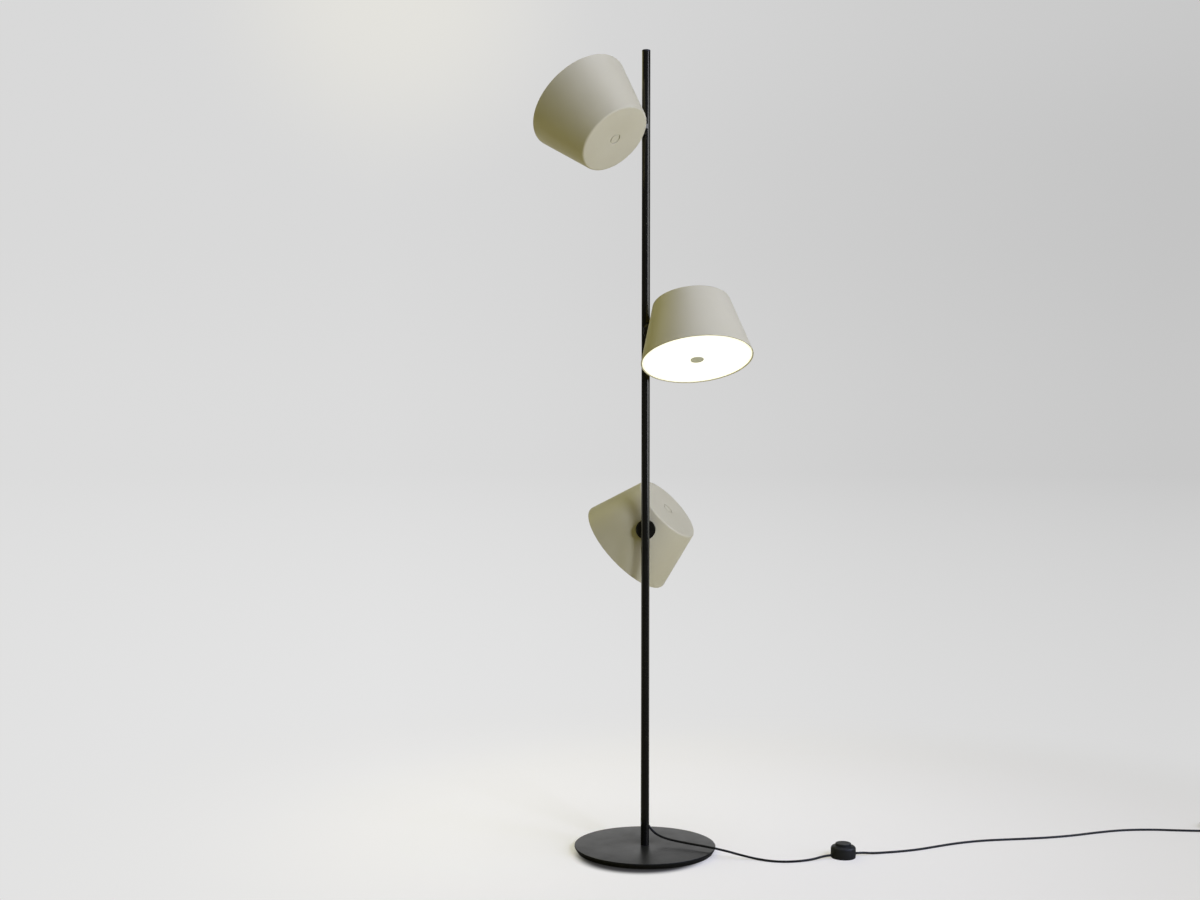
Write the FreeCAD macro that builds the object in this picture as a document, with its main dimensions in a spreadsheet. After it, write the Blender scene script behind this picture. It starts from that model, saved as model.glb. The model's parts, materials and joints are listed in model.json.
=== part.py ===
"""Tree floor lamp: a pole on a disc base with three conical shades on swivels.

Millimetres. The origin is the centre of the base's underside, on the floor.
+Z is up the pole, +X is right in a front view, +Y is away from the viewer.
"""
import FreeCAD, Part
import math
import os
import re

import Sketcher

V = FreeCAD.Vector
UP = V(0, 0, 1)

doc = FreeCAD.newDocument("TreeFloorLamp")
sheet = doc.addObject("Spreadsheet::Sheet", "Sizes")
nodes = []
next_row = [1]


# ---------------------------------------------------------------- driving sizes

def size(alias, value, note):
    """Give one driving size a row of its own: note, value, alias."""
    row = next_row[0]
    sheet.set("A%d" % row, note)
    sheet.set("B%d" % row, str(value))
    sheet.setAlias("B%d" % row, alias)
    next_row[0] = row + 1


size("pole_top", 1900, "floor to the top of the pole's cap")
size("pole_radius", 10, "pole, outside")
size("pole_wall", 1.5, "pole, tube wall")
size("pole_seat", 1, "depth that the pole sits in the base plate")
size("cap_height", 4, "cap, part that shows above the tube")
size("cap_spigot", 12, "cap, part inside the tube")
size("cap_wall", 2, "cap, wall of the part inside the tube")
size("cap_edge", 0.8, "cap, chamfer")
size("plate_radius", 167, "base plate, top edge")
size("plate_foot_radius", 161, "base plate, bottom edge")
size("plate_top", 15, "floor to the base plate's top face")
size("plate_lip", 3.2, "base plate, upright band below the top edge")
size("plate_round", 1, "base plate, rounding of the top edge")
size("pad_radius", 152, "foot pad")
size("pad_thickness", 2, "foot pad")
size("bolt_radius", 5, "foot bolt, shank")
size("bolt_reach", 24, "foot bolt, shank length")
size("bolt_head_radius", 8.75, "foot bolt, head")
size("bolt_head_height", 5.5, "foot bolt, head")
size("bolt_edge", 1, "foot bolt, chamfer")
size("bolt_sink", 0.5, "foot bolt, head above the pad")
size("bolt_key", 6, "foot bolt, hexagon socket across flats")
size("washer_radius", 12, "foot washer")
size("washer_thickness", 2, "foot washer")
size("nest_gap", 1, "base plate's recess, clearance round the washer")
size("foot_plug_length", 32, "threaded plug in the pole's lower end")
size("foot_plug_solid", 6, "threaded plug, solid end")
size("drill_tip", 2, "threaded plug, conical end of the bore")
size("close_gap", 0.1, "gap between pieces that are fixed together")

size("upper_height", 1716.2, "floor to the upper swivel pin")
size("middle_height", 1230.0, "floor to the middle swivel pin")
size("lower_height", 761.4, "floor to the lower swivel pin")
size("upper_yaw", 210.7, "upper pin, degrees about the pole from +X")
size("middle_yaw", 325.7, "middle pin, degrees about the pole from +X")
size("lower_yaw", 85.2, "lower pin, degrees about the pole from +X")
size("upper_turn", -136.6, "upper shade, degrees about its pin from facing down")
size("middle_turn", -15.4, "middle shade, degrees about its pin from facing down")
size("lower_turn", 46.6, "lower shade, degrees about its pin from facing down")

size("hub_radius", 23.5, "hub and swivel disc")
size("hub_wing", 1.4, "hub's wings, back from the pole's front beside the pole")
size("hub_stand", 7.5, "pole's surface to the hub's outer face")
size("hub_edge", 0.8, "chamfer on the hub and the swivel disc")
size("swivel_gap", 0.3, "between hub and swivel disc")
size("friction_radius", 17.8, "friction washer")
size("friction_gap", 0.4, "friction washer to the wall of its recess")
size("friction_recess", 0.5, "recess for it in the hub and in the disc")
size("friction_thickness", 1.2, "friction washer")
size("pin_radius", 5, "swivel pin, outside")
size("pin_bore", 3.4, "swivel pin, way through for the lead")
size("pin_inside", 1, "swivel pin, reach into the pole's bore")
size("pin_tail", 1.9, "swivel pin, thread beyond the lock nut")
size("thread_edge", 0.8, "swivel pin, chamfer at both ends")
size("wire_tail", 4, "inner lead, beyond the end of a swivel pin")
size("running_gap", 0.05, "swivel pin in a turning piece")
size("bracket_radius", 20, "inner bracket")
size("bracket_depth", 5, "inner bracket, shade wall to its flat face")
size("seat_gap", 0.15, "between the shade's wall and what clamps it")
size("lug_radius", 1, "stop lug on the bracket")
size("lug_height", 3, "stop lug on the bracket")
size("lug_circle", 14, "pin axis to the stop lug")
size("stop_radius", 9.5, "stop washer, ring")
size("stop_thickness", 1.5, "stop washer")
size("stop_width", 2, "stop washer, tab")
size("stop_reach", 15.5, "pin axis to the end of the tab")
size("spring_height", 1.6, "conical spring washer")
size("spring_sheet", 0.8, "conical spring washer, metal thickness")
size("spring_radius", 9.8, "conical spring washer")
size("nut_flats", 17, "lock nut across flats")
size("nut_height", 5, "lock nut")

size("rim_radius", 130.7, "shade, outside at the open end")
size("end_radius", 89.9, "shade, outside at the closed end")
size("shade_depth", 147, "shade, closed end to rim")
size("shade_wall", 1.2, "shade, sheet thickness")
size("end_round", 9, "shade, rounding of the closed end")
size("bead_width", 3.2, "rolled rim, across")
size("bead_height", 2.4, "rolled rim, along the axis")
size("wall_stand", 10, "hub's outer face to the shade's wall at the pin")
size("wall_hole_gap", 0.3, "shade's wall, clearance round the pin")
size("wall_station", 41.7, "closed end to the pin, along the shade's axis")
size("dimple_radius", 13.5, "dimple in the closed end")
size("dimple_depth", 2.4, "dimple in the closed end")
size("button_cap_radius", 11.2, "rear cap in the dimple")
size("cap_sink", 0.2, "rear cap, face below the closed end")
size("cap_rim", 0.4, "rear cap, chamfer")
size("cap_web", 2, "rear cap, solid part behind its head")
size("sleeve_radius", 6, "rear cap, sleeve")
size("sleeve_length", 9.6, "rear cap, sleeve")
size("rod_radius", 4, "centre rod, threaded ends")
size("rod_collar", 6.5, "centre rod, thick middle")
size("rod_end", 1, "diffuser's face to the end of the centre rod")
size("tray_height", 45, "rim to the back of the tray's floor")
size("tray_sheet", 1, "tray, sheet thickness")
size("tray_floor_radius", 92, "tray, floor")
size("tray_mouth_radius", 117, "tray, top of its slanting side")
size("tray_flange", 8, "tray, flange under the diffuser")
size("board_radius", 84, "light board")
size("board_bore", 12, "light board, centre hole")
size("board_thickness", 1.6, "light board")
size("chip_circle", 60, "ring of light chips")
size("chip_side", 5, "light chip")
size("chip_height", 0.8, "light chip")
size("driver_length", 56, "driver case")
size("driver_width", 36, "driver case")
size("driver_height", 22, "driver case")
size("driver_offset", 45, "shade axis to the driver's middle")
size("driver_corner", 3, "driver case, rounding")
size("diffuser_thickness", 3, "diffuser")
size("diffuser_set", 1.6, "rim to the diffuser's face")
size("diffuser_gap", 0.5, "diffuser to the rolled rim")
size("diffuser_edge", 0.5, "diffuser, chamfer")
size("knob_radius", 15.5, "diffuser knob, head")
size("knob_head", 1.8, "diffuser knob, head thickness")
size("knob_edge", 0.5, "diffuser knob, chamfer")
size("knob_stem", 5.5, "diffuser knob, stem radius")
size("knob_length", 8, "diffuser knob, stem length")
size("knob_play", 0.3, "diffuser's hole, clearance round the stem")

size("cord_radius", 2.7, "lead")
size("gland_height", 68, "floor to the gland")
size("gland_yaw", 95, "gland, degrees about the pole from +X")
size("gland_hole", 4, "gland's hole in the pole")
size("gland_flange", 6.5, "gland, round foot on the pole")
size("gland_foot", 1, "gland, round foot beyond the root of the nose")
size("gland_stand", 4.5, "pole's surface to the root of the nose")
size("nose_length", 20, "gland, tapered nose")
size("nose_root", 3.9, "gland, nose radius at its root")
size("nose_tip", 3.3, "gland, nose radius at its tip")
size("nose_groove", 0.5, "gland, depth of the bending grooves")
size("nose_sink", 2, "gland, nose inside its foot")

size("switch_x", 462, "foot switch, centre")
size("switch_y", -53, "foot switch, centre")
size("switch_yaw", 17, "foot switch, degrees from +X")
size("switch_radius", 29, "foot switch, case")
size("switch_wall", 2.2, "foot switch, case wall")
size("tray_top", 3, "foot switch, top of the base tray")
size("tray_inset", 0.4, "foot switch, base tray in from the case")
size("tray_edge", 1, "foot switch, chamfer under the base tray")
size("case_shoulder", 26.5, "foot switch, corner of the case above the floor")
size("case_top", 28.4, "foot switch, collar round the button")
size("case_round", 6, "foot switch, rounding of the shoulder")
size("button_radius", 18.2, "foot switch, button")
size("button_top", 33.8, "foot switch, floor to the button's top")
size("button_round", 2, "foot switch, rounding of the button")
size("button_gap", 0.4, "foot switch, button to case")
size("button_wall", 1.8, "foot switch, button wall")
size("button_flange", 2.2, "foot switch, button flange under the case")
size("flange_gap", 0.3, "foot switch, button flange to the case above it")
size("flange_height", 2, "foot switch, button flange")
size("button_travel", 4, "foot switch, way down")
size("core_length", 26, "foot switch, contact block")
size("core_width", 22, "foot switch, contact block")
size("core_top", 14, "foot switch, top of the contact block")
size("inlet_height", 7, "foot switch, floor to the lead's inlet")
size("inlet_radius", 3.8, "foot switch, collar round the inlet")
size("inlet_taper", 0.7, "foot switch, collar narrower at its end")
size("inlet_reach", 32.5, "switch axis to the collar's end")
size("coil_wire", 0.5, "button spring, wire radius")
size("coil_mean", 5, "button spring, mean radius")
size("coil_turns", 5, "button spring, turns")
size("screw_radius", 1.5, "tray screw, shank")
size("screw_head", 2.9, "tray screw, head")
size("screw_head_height", 1.7, "tray screw, head")
size("screw_sink", 0.3, "tray screw, head above the floor")
size("screw_place", 10, "switch axis to a tray screw")
size("screw_length", 10, "tray screw")

size("pack_x", 1450, "put-away coil, centre and start of the first turn")
size("pack_start_y", 175, "put-away coil, start of the first turn")
size("pack_lift", 0.9, "put-away coil, lifted by its tie")
size("pack_middle", 32.4, "put-away coil, radius at the middle of the turns")
size("pack_step", 6.0, "put-away coil, turn to turn and layer to layer")
size("pack_layer_turns", 2.75, "put-away coil, turns in each layer")
size("tie_width", 8, "tie round the coil")
size("tie_sheet", 0.75, "tie round the coil")
size("tie_slack", 0.3, "tie to the coil, outside and above")
size("tail_level", 12, "lead after the coil, level run")
size("tail_drop", 26, "lead after the coil, run down to the plug")
size("plug_half", 6.85, "plug, half its thickness")
size("plug_relief", 26, "plug, tapered strain relief")
size("plug_neck", 24, "lead end of the plug to its flat neck")
size("plug_relief_root", 5.6, "plug, relief radius at the body")
size("plug_relief_tip", 3.4, "plug, relief radius at the lead")
size("plug_shoulder", 36, "lead end of the plug to its shoulder")
size("plug_flare", 56, "lead end of the plug to its full width")
size("plug_length", 60, "lead end of the plug to its face")
size("plug_neck_width", 6.2, "plug, half width at the neck")
size("plug_shoulder_width", 13, "plug, half width at the shoulder")
size("plug_face_width", 17.6, "plug, half width at the face")
size("plug_edge", 2.5, "plug, chamfer along its edges")
size("prong_radius", 2, "plug pin")
size("prong_place", 9, "plug, centre to a pin")
size("prong_length", 19, "plug pin beyond the face")
size("prong_root", 8, "plug pin inside the body")
size("prong_edge", 1, "plug pin, chamfer")

doc.recompute()

HUB_BACK = "(pole_radius - hub_wing)"
HUB_FACE = "(pole_radius + hub_stand)"
WALL_DISTANCE = "(pole_radius + hub_stand + wall_stand)"
PIN_ROOT = "(pole_radius - pole_wall - pin_inside)"
BRACKET_FACE = "(%s + shade_wall + bracket_depth)" % WALL_DISTANCE
SPRING_START = BRACKET_FACE + " + close_gap * 2 + stop_thickness"
NUT_START = SPRING_START + " + spring_height + close_gap"
PIN_END = NUT_START + " + nut_height + pin_tail"
GLAND_REACH = "(pole_radius + gland_stand)"


# ---------------------------------------------------------------- small helpers

def link(text):
    """Turn size names in an expression into references to the sheet."""
    return re.sub(r"[a-z]+(?:_[a-z]+)+", lambda found: "Sizes." + found.group(), text)


def num(text):
    """Value of an expression of size names."""
    return float(sheet.evalExpression(link(text)))


def bind(thing, **sizes):
    """Bind properties of an object to expressions of size names."""
    for name, text in sizes.items():
        thing.setExpression(name, link(text))


def keep(thing, label, placement=None):
    """Label an object as a node of the lamp and put it in its place."""
    thing.Label = label
    if placement is not None:
        thing.Placement = placement
    nodes.append(thing)
    return thing


def axes_frame(x_axis, y_axis, z_axis, origin):
    """Placement with the given axes and origin."""
    return FreeCAD.Placement(FreeCAD.Matrix(
        x_axis.x, y_axis.x, z_axis.x, origin.x,
        x_axis.y, y_axis.y, z_axis.y, origin.y,
        x_axis.z, y_axis.z, z_axis.z, origin.z,
        0, 0, 0, 1))


def turned_about_z(degrees):
    return FreeCAD.Placement(V(0, 0, 0), FreeCAD.Rotation(UP, degrees))


def shifted(x, y, z):
    return FreeCAD.Placement(V(x, y, z), FreeCAD.Rotation())


def origin_feature(body, role):
    """Origin plane or axis of a body by its role."""
    return [part for part in body.Origin.OriginFeatures if part.Role == role][0]


def outline(body, role, corners):
    """Closed sketch through corners, each a pair of expressions of size names."""
    sketch = body.newObject("Sketcher::SketchObject", "Outline")
    sketch.AttachmentSupport = [(origin_feature(body, role), "")]
    sketch.MapMode = "FlatFace"
    points = [V(num(x), num(y), 0) for x, y in corners]
    count = len(points)
    for i in range(count):
        sketch.addGeometry(Part.LineSegment(points[i], points[(i + 1) % count]), False)
    for i in range(count):
        sketch.addConstraint(Sketcher.Constraint("Coincident", i, 2, (i + 1) % count, 1))
    for i, (x, y) in enumerate(corners):
        pin_corner(sketch, i, "DistanceX", x, points[i].x, -2)
        pin_corner(sketch, i, "DistanceY", y, points[i].y, -1)
    return sketch


def pin_corner(sketch, i, kind, text, value, axis):
    """Hold one coordinate of corner i at an expression, or on the axis if it is 0."""
    if text == "0":
        sketch.addConstraint(Sketcher.Constraint("PointOnObject", i, 1, axis))
        return
    held = sketch.addConstraint(Sketcher.Constraint(kind, -1, 1, i, 1, value))
    sketch.setExpression("Constraints[%d]" % held, link(text))


def turned(name, corners):
    """Body turned about its Z axis from an outline of (radius, height) corners."""
    body = doc.addObject("PartDesign::Body", name)
    turn = body.newObject("PartDesign::Revolution", "Turn")
    turn.Profile = outline(body, "XZ_Plane", corners)
    turn.ReferenceAxis = (turn.Profile[0], ["V_Axis"])
    turn.Angle = 360
    return body


def padded(name, corners, height, both_ways=False):
    """Body padded up from an outline on its XY plane."""
    body = doc.addObject("PartDesign::Body", name)
    pad = body.newObject("PartDesign::Pad", "Pad")
    pad.Profile = outline(body, "XY_Plane", corners)
    pad.Midplane = both_ways
    bind(pad, Length=height)
    return body


def drill(body, radius, depth, start, direction):
    """Cut a round hole into a body from a point along a direction."""
    hole = body.newObject("PartDesign::SubtractiveCylinder", "Drilled")
    bind(hole, Radius=radius, Height=depth)
    hole.Placement = FreeCAD.Placement(start, FreeCAD.Rotation(UP, direction))
    return hole


def ring_edges(shape, radius, height):
    """Names of a turned body's circular edges of a radius at a height."""
    names = []
    for i, edge in enumerate(shape.Edges):
        curve = edge.Curve
        if isinstance(curve, Part.Circle) and abs(curve.Radius - radius) < 0.001:
            if abs(curve.Center.z - height) < 0.001:
                names.append("Edge%d" % (i + 1))
    return names


def dress(body, kind, size_name, value, edges):
    """Fillet or chamfer the named edges of a body's tip."""
    base = body.Tip
    feature = body.newObject("PartDesign::" + kind, kind)
    feature.Base = (base, edges)
    bind(feature, **{size_name: value})
    body.Tip = feature
    return feature


def round_ring(body, value, radius, height):
    """Fillet a turned body's edge at (radius, height), given as expressions."""
    doc.recompute()
    edges = ring_edges(body.Tip.Shape, num(radius), num(height))
    dress(body, "Fillet", "Radius", value, edges)


def cylinder(radius, height, placement=None):
    solid = doc.addObject("Part::Cylinder", "Cylinder")
    bind(solid, Radius=radius, Height=height)
    if placement is not None:
        solid.Placement = placement
    return solid


def block(length, width, height, placement):
    solid = doc.addObject("Part::Box", "Block")
    bind(solid, Length=length, Width=width, Height=height)
    solid.Placement = placement
    return solid


def cut(base, tool):
    result = doc.addObject("Part::Cut", "Cut")
    result.Base = base
    result.Tool = tool
    return result


def common(base, tool):
    result = doc.addObject("Part::Common", "Common")
    result.Base = base
    result.Tool = tool
    return result


def fused(*pieces):
    result = doc.addObject("Part::MultiFuse", "Fused")
    result.Shapes = list(pieces)
    return result


def group(name, pieces):
    """One node of several separate solids."""
    together = doc.addObject("Part::Compound", name)
    together.Links = pieces
    return keep(together, name)


# ---------------------------------------------------------------- frames

FLARE = (num("rim_radius") - num("end_radius")) / num("shade_depth")
SLANT = math.atan(FLARE)
LEVELS = ("upper", "middle", "lower")


def pin_frame(level):
    """Frame of a fixed pin: Z points out along the pin, Y is up, origin in the pole."""
    yaw = math.radians(num(level + "_yaw"))
    out = V(math.cos(yaw), math.sin(yaw), 0)
    return axes_frame(UP.cross(out), UP, out, V(0, 0, num(level + "_height")))


def turning_frame(level):
    """The pin's frame turned with the shade: -Y runs from closed end to rim."""
    return pin_frame(level) * turned_about_z(num(level + "_turn"))


def shade_in_turning_frame():
    """The shade's own frame: Z from closed end to rim, +X side at the pin."""
    run, rise = math.cos(SLANT), math.sin(SLANT)
    pin_circle = num("end_radius") + FLARE * num("wall_station")
    origin = V(0, pin_circle * rise + num("wall_station") * run,
               num(WALL_DISTANCE) + pin_circle * run - num("wall_station") * rise)
    return axes_frame(V(0, -rise, -run), V(1, 0, 0), V(0, -run, rise), origin)


def shade_frame(level):
    return turning_frame(level) * shade_in_turning_frame()


SLANT_TEXT = "cos(atan((rim_radius - end_radius) / shade_depth))"


def wall_radius(depth, inset="0"):
    """Radius of the shade's outer wall at a depth, less an inset square to the wall."""
    grown = "end_radius + (rim_radius - end_radius) / shade_depth * (%s)" % depth
    return "%s - (%s) / %s" % (grown, inset, SLANT_TEXT)


# ---------------------------------------------------------------- stand

def make_base_plate():
    """Turned steel disc. Its edge slopes in below a short upright lip."""
    bore_top = "plate_top - pole_seat"
    nest = "washer_radius + nest_gap"
    nest_top = "pad_thickness + bolt_sink + bolt_head_height + washer_thickness"
    plate = turned("base_plate", [
        ("bolt_radius + close_gap", nest_top),
        ("bolt_radius + close_gap", bore_top),
        ("pole_radius + close_gap", bore_top),
        ("pole_radius + close_gap", "plate_top"),
        ("plate_radius", "plate_top"),
        ("plate_radius", "plate_top - plate_lip"),
        ("plate_foot_radius", "pad_thickness"),
        (nest, "pad_thickness"),
        (nest, nest_top)])
    round_ring(plate, "plate_round", "plate_radius", "plate_top")
    keep(plate, "base_plate")


def make_foot():
    """Pad, bolt, washer and threaded plug that hold the pole down."""
    pad = turned("foot_pad", [
        ("0", "0"), ("pad_radius", "0"), ("pad_radius", "pad_thickness"),
        ("0", "pad_thickness")])
    keep(pad, "foot_pad")
    seat = "pad_thickness + bolt_sink"
    head_top = seat + " + bolt_head_height"
    bolt = turned("foot_bolt", [
        ("0", seat), ("bolt_head_radius - bolt_edge", seat),
        ("bolt_head_radius", seat + " + bolt_edge"),
        ("bolt_head_radius", head_top), ("bolt_radius", head_top),
        ("bolt_radius", head_top + " + bolt_reach - bolt_edge"),
        ("bolt_radius - bolt_edge", head_top + " + bolt_reach"),
        ("0", head_top + " + bolt_reach")])
    socket = bolt.newObject("PartDesign::SubtractivePrism", "Socket")
    socket.Polygon = 6
    bind(socket, Circumradius="bolt_key / 2 / cos(30)", Height="bolt_head_height * 0.6")
    socket.Placement = shifted(0, 0, num(seat))
    keep(bolt, "foot_bolt")
    washer = turned("foot_washer", [
        ("bolt_radius + close_gap", head_top),
        ("washer_radius", head_top),
        ("washer_radius", head_top + " + washer_thickness"),
        ("bolt_radius + close_gap", head_top + " + washer_thickness")])
    keep(washer, "foot_washer")
    bottom = "plate_top - pole_seat"
    outside = "pole_radius - pole_wall - close_gap"
    plug = turned("foot_plug", [
        ("bolt_radius + close_gap", bottom), (outside, bottom),
        (outside, bottom + " + foot_plug_length"),
        ("0", bottom + " + foot_plug_length"),
        ("0", bottom + " + foot_plug_length - foot_plug_solid"),
        ("bolt_radius + close_gap", bottom + " + foot_plug_length - foot_plug_solid - drill_tip")])
    keep(plug, "foot_plug")


def make_pole():
    """Steel tube with one hole for each swivel pin and one for the gland."""
    foot = "plate_top - pole_seat"
    head = "pole_top - cap_height"
    pole = turned("pole", [
        ("pole_radius - pole_wall", foot), ("pole_radius", foot),
        ("pole_radius", head), ("pole_radius - pole_wall", head)])
    for level in LEVELS:
        place = pin_frame(level)
        drill(pole, "pin_radius + close_gap", "pole_radius * 2",
              place.Base, place.Rotation.multVec(UP))
    drill(pole, "gland_hole", "pole_radius * 2", V(0, 0, num("gland_height")), gland_out())
    keep(pole, "pole")
    spigot = "pole_radius - pole_wall - close_gap"
    hollow = spigot + " - cap_wall"
    end = head + " - cap_spigot"
    roof = head + " - cap_wall"
    cap = turned("pole_cap", [
        ("0", roof), (hollow, roof), (hollow, end), (spigot, end),
        (spigot, head), ("pole_radius", head), ("pole_radius", "pole_top - cap_edge"),
        ("pole_radius - cap_edge", "pole_top"), ("0", "pole_top")])
    keep(cap, "pole_cap")


# ---------------------------------------------------------------- gland and inner lead

def gland_out():
    yaw = math.radians(num("gland_yaw"))
    return V(math.cos(yaw), math.sin(yaw), 0)


def nose_direction():
    """The nose points down and to the right, the way the lead goes."""
    return V(0.62, 0.05, -0.783).normalize()


def make_gland():
    """Rubber strain relief: stem in the pole, round foot, tapered nose with grooves."""
    out = gland_out()
    level = V(0, 0, num("gland_height"))
    outward = FreeCAD.Rotation(UP, out)
    foot = cylinder("gland_flange", GLAND_REACH + " + gland_foot",
                    FreeCAD.Placement(level, outward))
    around = cylinder("pole_radius + close_gap", "gland_flange * 4",
                      shifted(0, 0, num("gland_height") - 2 * num("gland_flange")))
    stem = cylinder("gland_hole - close_gap", GLAND_REACH + " - " + PIN_ROOT,
                    FreeCAD.Placement(level + out * num(PIN_ROOT), outward))
    nose = turned("gland_nose", nose_corners())
    nose.Placement = FreeCAD.Placement(level + out * num(GLAND_REACH),
                                       FreeCAD.Rotation(UP, nose_direction()))
    keep(fused(cut(foot, around), stem, nose), "cord_gland")


def nose_corners():
    """Tapered outline with three grooves that let the nose bend, by share of its length."""
    first, pitch, width, flank = 0.3, 0.2, 0.1, 0.02
    corners = [("0", "-nose_sink"), ("nose_root", "-nose_sink")]
    for groove in range(3):
        start = first + pitch * groove
        end = start + width
        for share, sunk in ((start, False), (start + flank, True), (end - flank, True), (end, False)):
            radius = "nose_root + (nose_tip - nose_root) * %.2f" % share
            if sunk:
                radius += " - nose_groove"
            corners.append((radius, "nose_length * %.2f" % share))
    return corners + [("nose_tip", "nose_length"), ("0", "nose_length")]


def make_pole_wiring():
    """The lead inside the pole, with a branch out through each hollow pin."""
    foot = num("gland_height")
    trunk = cylinder("cord_radius", "upper_height - gland_height", shifted(0, 0, foot))
    branches = [trunk]
    for level in LEVELS:
        place = pin_frame(level)
        branches.append(cylinder("cord_radius", PIN_END + " + wire_tail", place))
    branches.append(cylinder("cord_radius", PIN_ROOT + " - close_gap", FreeCAD.Placement(
        V(0, 0, foot), FreeCAD.Rotation(UP, gland_out()))))
    keep(fused(*branches), "pole_wiring")


# ---------------------------------------------------------------- swivels, fixed side

def make_hub(level):
    """Round hub: saddle for the pole behind, recess for the friction washer in front."""
    bore = "pin_radius + close_gap"
    recess = "friction_radius + friction_gap"
    recess_floor = HUB_FACE + " - friction_recess"
    hub = turned("hub_" + level, [
        (bore, HUB_BACK), ("hub_radius - hub_edge", HUB_BACK),
        ("hub_radius", HUB_BACK + " + hub_edge"), ("hub_radius", HUB_FACE + " - hub_edge"),
        ("hub_radius - hub_edge", HUB_FACE), (recess, HUB_FACE),
        (recess, recess_floor), (bore, recess_floor)])
    reach = 2 * num("hub_radius")
    drill(hub, "pole_radius + close_gap / 2", "hub_radius * 4", V(0, -reach, 0), V(0, 1, 0))
    keep(hub, "hub_" + level, pin_frame(level))


def make_swivel_pin(level):
    """Hollow threaded pin. Its root is screwed through the pole's wall."""
    slim = "pin_radius - thread_edge"
    pin = turned("swivel_pin_" + level, [
        ("pin_bore", PIN_ROOT), (slim, PIN_ROOT), ("pin_radius", PIN_ROOT + " + thread_edge"),
        ("pin_radius", PIN_END + " - thread_edge"), (slim, PIN_END), ("pin_bore", PIN_END)])
    pin.Placement = pin_frame(level)
    return pin


def make_ring(name, level, bore, radius, start, thickness):
    """Flat washer on a fixed pin."""
    top = "%s + %s" % (start, thickness)
    ring = turned(name + "_" + level, [(bore, start), (radius, start), (radius, top), (bore, top)])
    ring.Placement = pin_frame(level)
    return ring


def make_stop_washer(level):
    """Keyed ring with a tab that the bracket's lug comes to at either end of the turn."""
    start = num(BRACKET_FACE) + num("close_gap")
    ring = cylinder("stop_radius", "stop_thickness", shifted(0, 0, start))
    tab = block("stop_width", "stop_reach", "stop_thickness",
                shifted(-num("stop_width") / 2, 0, start))
    bore = cylinder("pin_radius + close_gap / 2", "stop_thickness * 3",
                    shifted(0, 0, start - num("stop_thickness")))
    washer = cut(fused(ring, tab), bore)
    washer.Placement = pin_frame(level)
    return washer


def make_spring_washer(level):
    """Conical spring washer that keeps the swivel tight."""
    inner = "pin_radius + close_gap * 2"
    low = SPRING_START
    washer = turned("spring_washer_" + level, [
        (inner, low + " + spring_height - spring_sheet"), ("spring_radius", low),
        ("spring_radius", low + " + spring_sheet"), (inner, low + " + spring_height")])
    washer.Placement = pin_frame(level)
    return washer


def make_lock_nut(level):
    start = num(NUT_START)
    nut = doc.addObject("Part::Prism", "Hexagon")
    nut.Polygon = 6
    bind(nut, Circumradius="nut_flats / 2 / cos(30)", Height="nut_height")
    nut.Placement = shifted(0, 0, start)
    thread = cylinder("pin_radius + close_gap / 2", "nut_height * 3",
                      shifted(0, 0, start - num("nut_height")))
    made = cut(nut, thread)
    made.Placement = pin_frame(level)
    return made


def make_fixed_swivels():
    for level in LEVELS:
        make_hub(level)
    group("swivel_pins", [make_swivel_pin(level) for level in LEVELS])
    group("friction_washers", [make_ring(
        "friction_washer", level, "pin_radius + close_gap", "friction_radius",
        HUB_FACE + " - friction_recess", "friction_thickness") for level in LEVELS])
    group("stop_washers", [make_stop_washer(level) for level in LEVELS])
    group("spring_washers", [make_spring_washer(level) for level in LEVELS])
    group("lock_nuts", [make_lock_nut(level) for level in LEVELS])


# ---------------------------------------------------------------- shades

def make_swivel_disc(level):
    """Disc that turns on the hub. Its far side is hollowed to the shade's cone."""
    bore = "pin_radius + running_gap"
    near = HUB_FACE + " + swivel_gap"
    recess = "friction_radius + friction_gap"
    far = WALL_DISTANCE + " + hub_radius * hub_radius / end_radius"
    disc = turned("swivel_disc_" + level, [
        (bore, near + " + friction_recess"), (recess, near + " + friction_recess"), (recess, near),
        ("hub_radius - hub_edge", near), ("hub_radius", near + " + hub_edge"),
        ("hub_radius", far), (bore, far)])
    cone = disc.newObject("PartDesign::SubtractiveCone", "ShadeWall")
    bind(cone, Radius1=wall_radius("0", "-seat_gap"),
         Radius2=wall_radius("shade_depth", "-seat_gap"), Height="shade_depth")
    cone.Placement = shade_in_turning_frame()
    keep(disc, "swivel_disc_" + level, turning_frame(level))


def make_inner_bracket(level):
    """Clamp plate inside the shade: one side fits the cone, the other is flat."""
    start = num(WALL_DISTANCE)
    plate = cylinder("bracket_radius", "shade_wall + bracket_depth", shifted(0, 0, start))
    cone = doc.addObject("Part::Cone", "InnerWall")
    bind(cone, Radius1=wall_radius("0", "shade_wall + seat_gap"),
         Radius2=wall_radius("shade_depth", "shade_wall + seat_gap"), Height="shade_depth")
    cone.Placement = shade_in_turning_frame()
    lug = cylinder("lug_radius", "lug_height + bracket_depth / 2",
                   shifted(0, -num("lug_circle"), num(BRACKET_FACE + " - bracket_depth / 2")))
    bore = cylinder("pin_radius + running_gap", "bracket_depth * 4",
                    shifted(0, 0, start - num("bracket_depth")))
    made = cut(fused(common(plate, cone), lug), bore)
    keep(made, "inner_bracket_" + level, turning_frame(level))


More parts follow.
